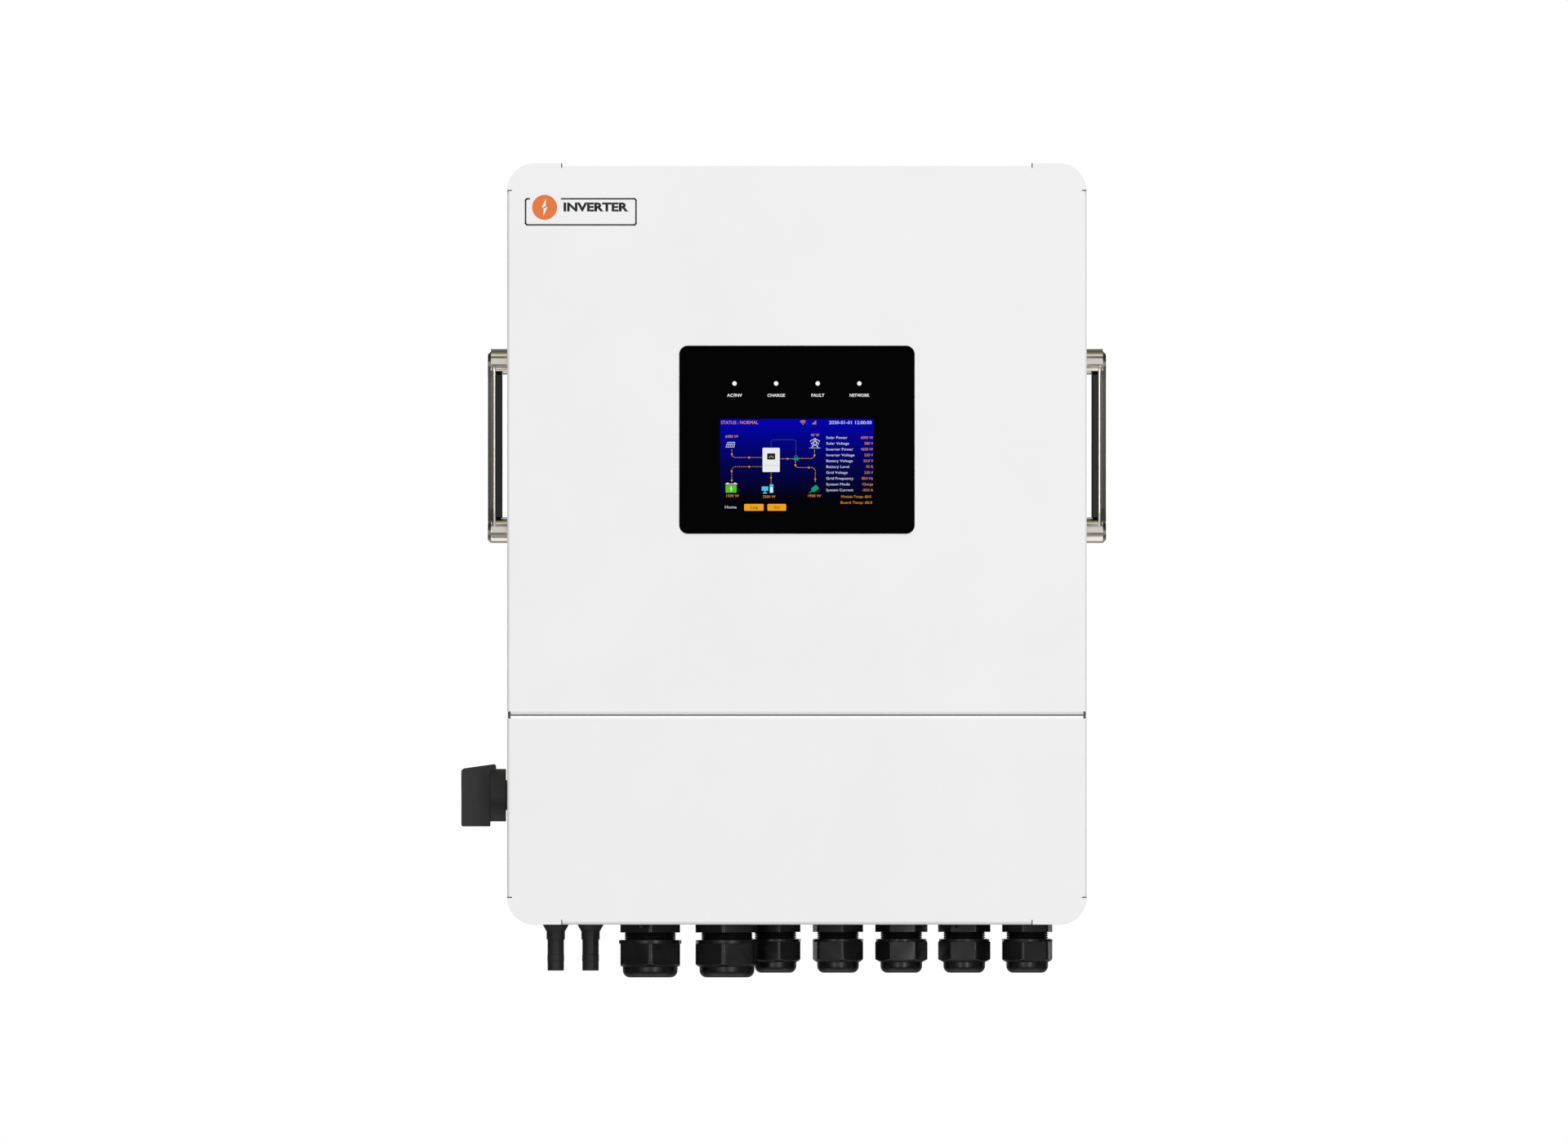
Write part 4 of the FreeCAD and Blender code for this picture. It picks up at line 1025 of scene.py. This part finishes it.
class INVERTER_OT_cable_entries(bpy.types.Operator):
    """Finish the cable glands and the solar connectors"""

    bl_idname = "inverter.cable_entries"
    bl_label = "Cable entries"

    def execute(self, context):
        edge = context.scene.inverter_enclosure.moulded_edge
        nuts = [node for node in sorted(NODES) if node.startswith("gland_nut_")]
        finish_nodes(nuts, 0.35 * MM)
        finish_node("gland_bodies", 0.15 * MM)
        finish_node("pv_connectors", 0.15 * MM, material_of(textured_abs))
        low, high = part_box("pv_connectors")
        radius, y = 9.0 * MM, (low.y + high.y) / 2
        start, end = low.z + 6.6 * MM, low.z + 11.4 * MM
        piece = unite(*[
            round_bar((x, y, start), (x, y, end), 5.95 * MM) for x in (low.x + radius, high.x - radius)])
        ease_edges(piece, 0.2 * MM)
        settle(piece, "connector_collars", material_of(textured_abs), "enclosure", "black_nylon")
        finish_node("entry_locknuts", edge)
        finish_node("gland_seals", 0.5 * MM)
        return {"FINISHED"}


class INVERTER_OT_cooling(bpy.types.Operator):
    """Finish the heat sink, duct and fans"""

    bl_idname = "inverter.cooling"
    bl_label = "Cooling"

    def execute(self, context):
        finish_nodes(("heat_sink", "duct_sides", "fan_tray"), 0.2 * MM)
        finish_nodes(("fan_frames", "fan_rotor_1", "fan_rotor_2", "fan_rotor_3"), 0.35 * MM)
        finish_node("fan_guards", 0)
        return {"FINISHED"}


class INVERTER_OT_wall_mounting(bpy.types.Operator):
    """Finish the wall bracket, hanger rail and locking tabs"""

    bl_idname = "inverter.wall_mounting"
    bl_label = "Wall mounting"

    def execute(self, context):
        finish_nodes(("wall_bracket", "hanger_rail", "lower_tabs"), 0.3 * MM)
        return {"FINISHED"}


class INVERTER_OT_electronics(bpy.types.Operator):
    """Finish the boards, terminals and components inside"""

    bl_idname = "inverter.electronics"
    bl_label = "Electronics"

    def execute(self, context):
        finish_nodes(
            ("battery_terminal_block", "battery_studs", "ac_terminal_block", "ac_terminal_screws",
             "comm_board", "comm_sockets", "earth_bar"), 0.25 * MM)
        self.terminal_marks()
        self.board_parts()
        for node, piece in NODES.items():
            if not piece.hide_render:
                wear(piece, finish_of(node))
        return {"FINISHED"}

    def terminal_marks(self):
        """Generic letters beside the clamps."""
        screw_low, screw_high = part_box("ac_terminal_screws")
        radius = 4.2 * MM
        pitch = (screw_high.x - screw_low.x - 2 * radius) / 7
        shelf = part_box("divider_shelf")
        y, z = shelf[0].y - 0.05 * MM, shelf[0].z + 5.2 * MM
        dark = ink("terminal_ink", linear("202124"))
        names = ("L", "N", "PE", "PE", "L", "N", "L", "N")
        marks = [
            words(text, screw_low.x + radius + pitch * k, z, y, 3.4 * MM, weight=0.1 * MM)
            for k, text in enumerate(names)]
        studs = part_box("battery_studs")
        marks += [
            words(text, x, z, y, 4.6 * MM, weight=0.2 * MM)
            for text, x in (("-", studs[0].x + 8 * MM), ("+", studs[1].x - 8 * MM))]
        printed(marks, "terminal_marks", dark, "zinc_plated_steel")

    def board_parts(self):
        """Chips, small capacitors and contact strips on the communication board."""
        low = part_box("comm_board")[0]
        chips, cans, contacts = [], [], []
        for u, v, wide, tall in (
                (14, 40, 9, 9), (34, 38, 14, 7), (56, 41, 7, 7),
                (74, 38, 12, 8), (24, 28, 5, 4), (88, 28, 6, 4)):
            centre = Vector((low.x + u * MM, low.y, low.z + v * MM))
            half = Vector((wide * MM / 2, 0, tall * MM / 2))
            chips.append(box_at(centre - half - Vector((0, 1.4 * MM, 0)), centre + half))
        for u, v in ((44, 27), (50, 27), (64, 28), (92, 43)):
            start = Vector((low.x + u * MM, low.y, low.z + v * MM))
            cans.append(round_bar(start, start - Vector((0, 5.5 * MM, 0)), 2.2 * MM, 32))
        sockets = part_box("comm_sockets")
        for k in range(4):
            for pin in range(8):
                x = sockets[0].x + (8 + 23 * k + (pin - 3.5) * 1.02) * MM
                contacts.append(box_at(
                    (x - 0.2 * MM, low.y - 4.2 * MM, sockets[0].z + 3 * MM),
                    (x + 0.2 * MM, low.y - 3.6 * MM, sockets[0].z + 12 * MM)))
        for parts, name, maker, slot, edge in (
                (chips, "board_chips", fan_plastic, "circuit_board", 0.15 * MM),
                (cans, "board_capacitors", zinc_plate, "circuit_board", 0.15 * MM),
                (contacts, "socket_contacts", machined_brass, "tinned_shell", 0.05 * MM)):
            select_only(*parts)
            bpy.ops.object.join()
            piece = bpy.context.active_object
            ease_edges(piece, edge)
            settle(piece, name, material_of(maker), "enclosure", slot)


class INVERTER_OT_stage(bpy.types.Operator):
    """Set the floor, the soft lights and the camera"""

    bl_idname = "inverter.stage"
    bl_label = "Stage"

    def execute(self, context):
        settings = context.scene.inverter_stage
        floor_z = CAD_BOX[0].z - settings.floor_drop
        bpy.ops.mesh.primitive_plane_add(size=9, location=(0, 0, floor_z))
        floor = context.active_object
        floor.name = "floor"
        floor.visible_glossy = False
        floor.visible_diffuse = False
        material, shader, place = start_material("pale_floor", Roughness=0.6)
        tint(shader, noise(place, 0.3), "EDEDED", "F2F2F2")
        wear(floor, material)
        self.light_world(context)
        aim = Vector((MIDDLE_X, 0, MIDDLE_Z))
        power = settings.softbox_power
        for name, spot_at, size, share in (
                ("softbox_left", (-0.75, -2.3, -0.4), (0.15, 1.7), 0.7),
                ("softbox_right", (0.75, -2.3, -0.4), (0.2, 1.7), 1.2),
                ("softbox_top", (0.0, -1.75, 5.0), (4.0, 2.0), 17.0),
                ("softbox_rear_left", (-1.4, 2.2, 0.6), (1.0, 1.6), 1.6),
                ("softbox_rear_right", (1.4, 2.2, 0.6), (1.0, 1.6), 1.6)):
            bpy.ops.object.light_add(type="AREA", location=Vector(spot_at) + aim)
            light = context.active_object
            light.name = name
            light.visible_camera = False
            light.visible_glossy = name != "softbox_top"
            light.data.shape = "RECTANGLE"
            light.data.size, light.data.size_y = size
            light.data.energy = power * share
            light.rotation_euler = Vector(spot_at).to_track_quat("Z", "Y").to_euler()
        self.place_camera(context, settings)
        return {"FINISHED"}

    def light_world(self, context):
        """White to the camera. Gloss reflects a studio of light panels with dark gaps between
        them, going round from the front over the top and underneath; the rest is lit softly,
        mostly from the front and above, and a little less from the left."""
        world = bpy.data.worlds.new("studio")
        context.scene.world = world
        world.use_nodes = True
        tree = world.node_tree
        tree.nodes.clear()
        way = add_node(tree, "TexCoord").outputs["Generated"]
        parts = add_node(tree, "SeparateXYZ", links={"Vector": way}).outputs
        front = add_node(tree, "Math", {1: -1.0}, {0: parts["Y"]}, operation="MULTIPLY").outputs["Value"]
        angle = add_node(tree, "Math", links={0: parts["Z"], 1: front}, operation="ARCTAN2").outputs["Value"]
        turn = remap(angle, -math.pi, math.pi)
        across = remap(parts["X"], -1.0, 1.0)
        panels = (
            (-180, 0.2), (-142, 0.24), (-124, 0.33), (-112, 1.1), (-67, 1.2), (-60, 0.65), (-52, 0.38),
            (-36, 0.25), (-30, 0.15), (-25, 0.2), (-20, 0.82), (27, 0.82), (33, 0.4), (38, 0.12), (48, 0.13),
            (55, 0.7), (62, 1.05), (71, 0.5), (80, 0.33), (91, 0.2), (102, 0.1), (130, 0.19), (180, 0.2))
        soft = (
            (-180, 0.2), (-90, 0.42), (-40, 0.6), (0, 0.72), (40, 0.76), (80, 1.0), (120, 0.8), (180, 0.25))
        dark_sides = ((-0.97, 0.3), (-0.85, 0.1), (-0.55, 1.0), (0.55, 1.0), (0.85, 0.1), (0.97, 0.3))
        dark_left = ((-0.97, 0.25), (-0.85, 0.15), (-0.5, 0.92), (0.55, 1.0), (0.85, 0.85), (0.97, 0.5))

        def room(levels, sides, blue):
            """Light round the object; blue is the share of blue light from high in front."""
            fade = ramp(across, [((x + 1) / 2, [level] * 3) for x, level in sides])
            shades = ramp(turn, [
                ((a + 180) / 360, [level, level, level * (blue if 60 < a < 95 else 1)])
                for a, level in levels])
            product = add_node(
                tree, "Mix", {0: 1.0}, {6: shades, 7: fade}, data_type="RGBA", blend_type="MULTIPLY")
            return add_node(tree, "Background", links={"Color": product.outputs[2]}).outputs[0]

        rays = add_node(tree, "LightPath").outputs
        lit_rooms = {1: room(soft, dark_left, 1.0), 2: room(panels, dark_sides, 0.75)}
        inside = add_node(tree, "MixShader", links={0: rays["Is Glossy Ray"], **lit_rooms}).outputs[0]
        white = add_node(tree, "Background", {"Color": (1, 1, 1, 1)}).outputs[0]
        choice = add_node(tree, "MixShader", links={0: rays["Is Camera Ray"], 1: inside, 2: white}).outputs[0]
        out = add_node(tree, "OutputWorld", links={"Surface": choice})
        out.is_active_output = True

    def place_camera(self, context, settings):
        """Square-on view, a little left of and below the middle of the covers."""
        place = (MIDDLE_X - 9.1 * MM, FACE_Y - 2.0, MIDDLE_Z - 19.1 * MM)
        bpy.ops.object.camera_add(location=place, rotation=facing_front())
        camera = context.active_object
        camera.data.type = "ORTHO"
        camera.data.ortho_scale = settings.frame_width
        context.scene.camera = camera
        context.scene.view_settings.view_transform = "Standard"


class INVERTER_PT_pieces(bpy.types.Panel):
    """Lists the pieces of the inverter and what can be changed on them"""

    bl_idname = "INVERTER_PT_pieces"
    bl_label = "Inverter"
    bl_space_type = "VIEW_3D"
    bl_region_type = "UI"
    bl_category = "Inverter"

    def draw(self, context):
        layout = self.layout
        for group_name, _ in GROUPS:
            settings = getattr(context.scene, group_name)
            box = layout.box()
            for key in settings.__annotations__:
                box.prop(settings, key)
        for operator in OPERATORS:
            layout.operator(operator.bl_idname)


GROUPS = (
    ("inverter_enclosure", InverterEnclosure),
    ("inverter_prints", InverterPrints),
    ("inverter_stage", InverterStage),
)
OPERATORS = (
    INVERTER_OT_stage, INVERTER_OT_enclosure, INVERTER_OT_badge, INVERTER_OT_display,
    INVERTER_OT_screen, INVERTER_OT_handles, INVERTER_OT_switch, INVERTER_OT_cable_entries,
    INVERTER_OT_cooling, INVERTER_OT_wall_mounting, INVERTER_OT_electronics,
)
CLASSES = tuple(group for _, group in GROUPS) + OPERATORS + (INVERTER_PT_pieces,)


def register():
    for each in CLASSES:
        bpy.utils.register_class(each)
    for key, group in GROUPS:
        setattr(bpy.types.Scene, key, PointerProperty(type=group))


def unregister():
    for key, _ in GROUPS:
        delattr(bpy.types.Scene, key)
    for each in reversed(CLASSES):
        bpy.utils.unregister_class(each)


def main():
    register()
    for operator in OPERATORS:
        family, action = operator.bl_idname.split(".")
        getattr(getattr(bpy.ops, family), action)()


if __name__ == "__main__":
    main()
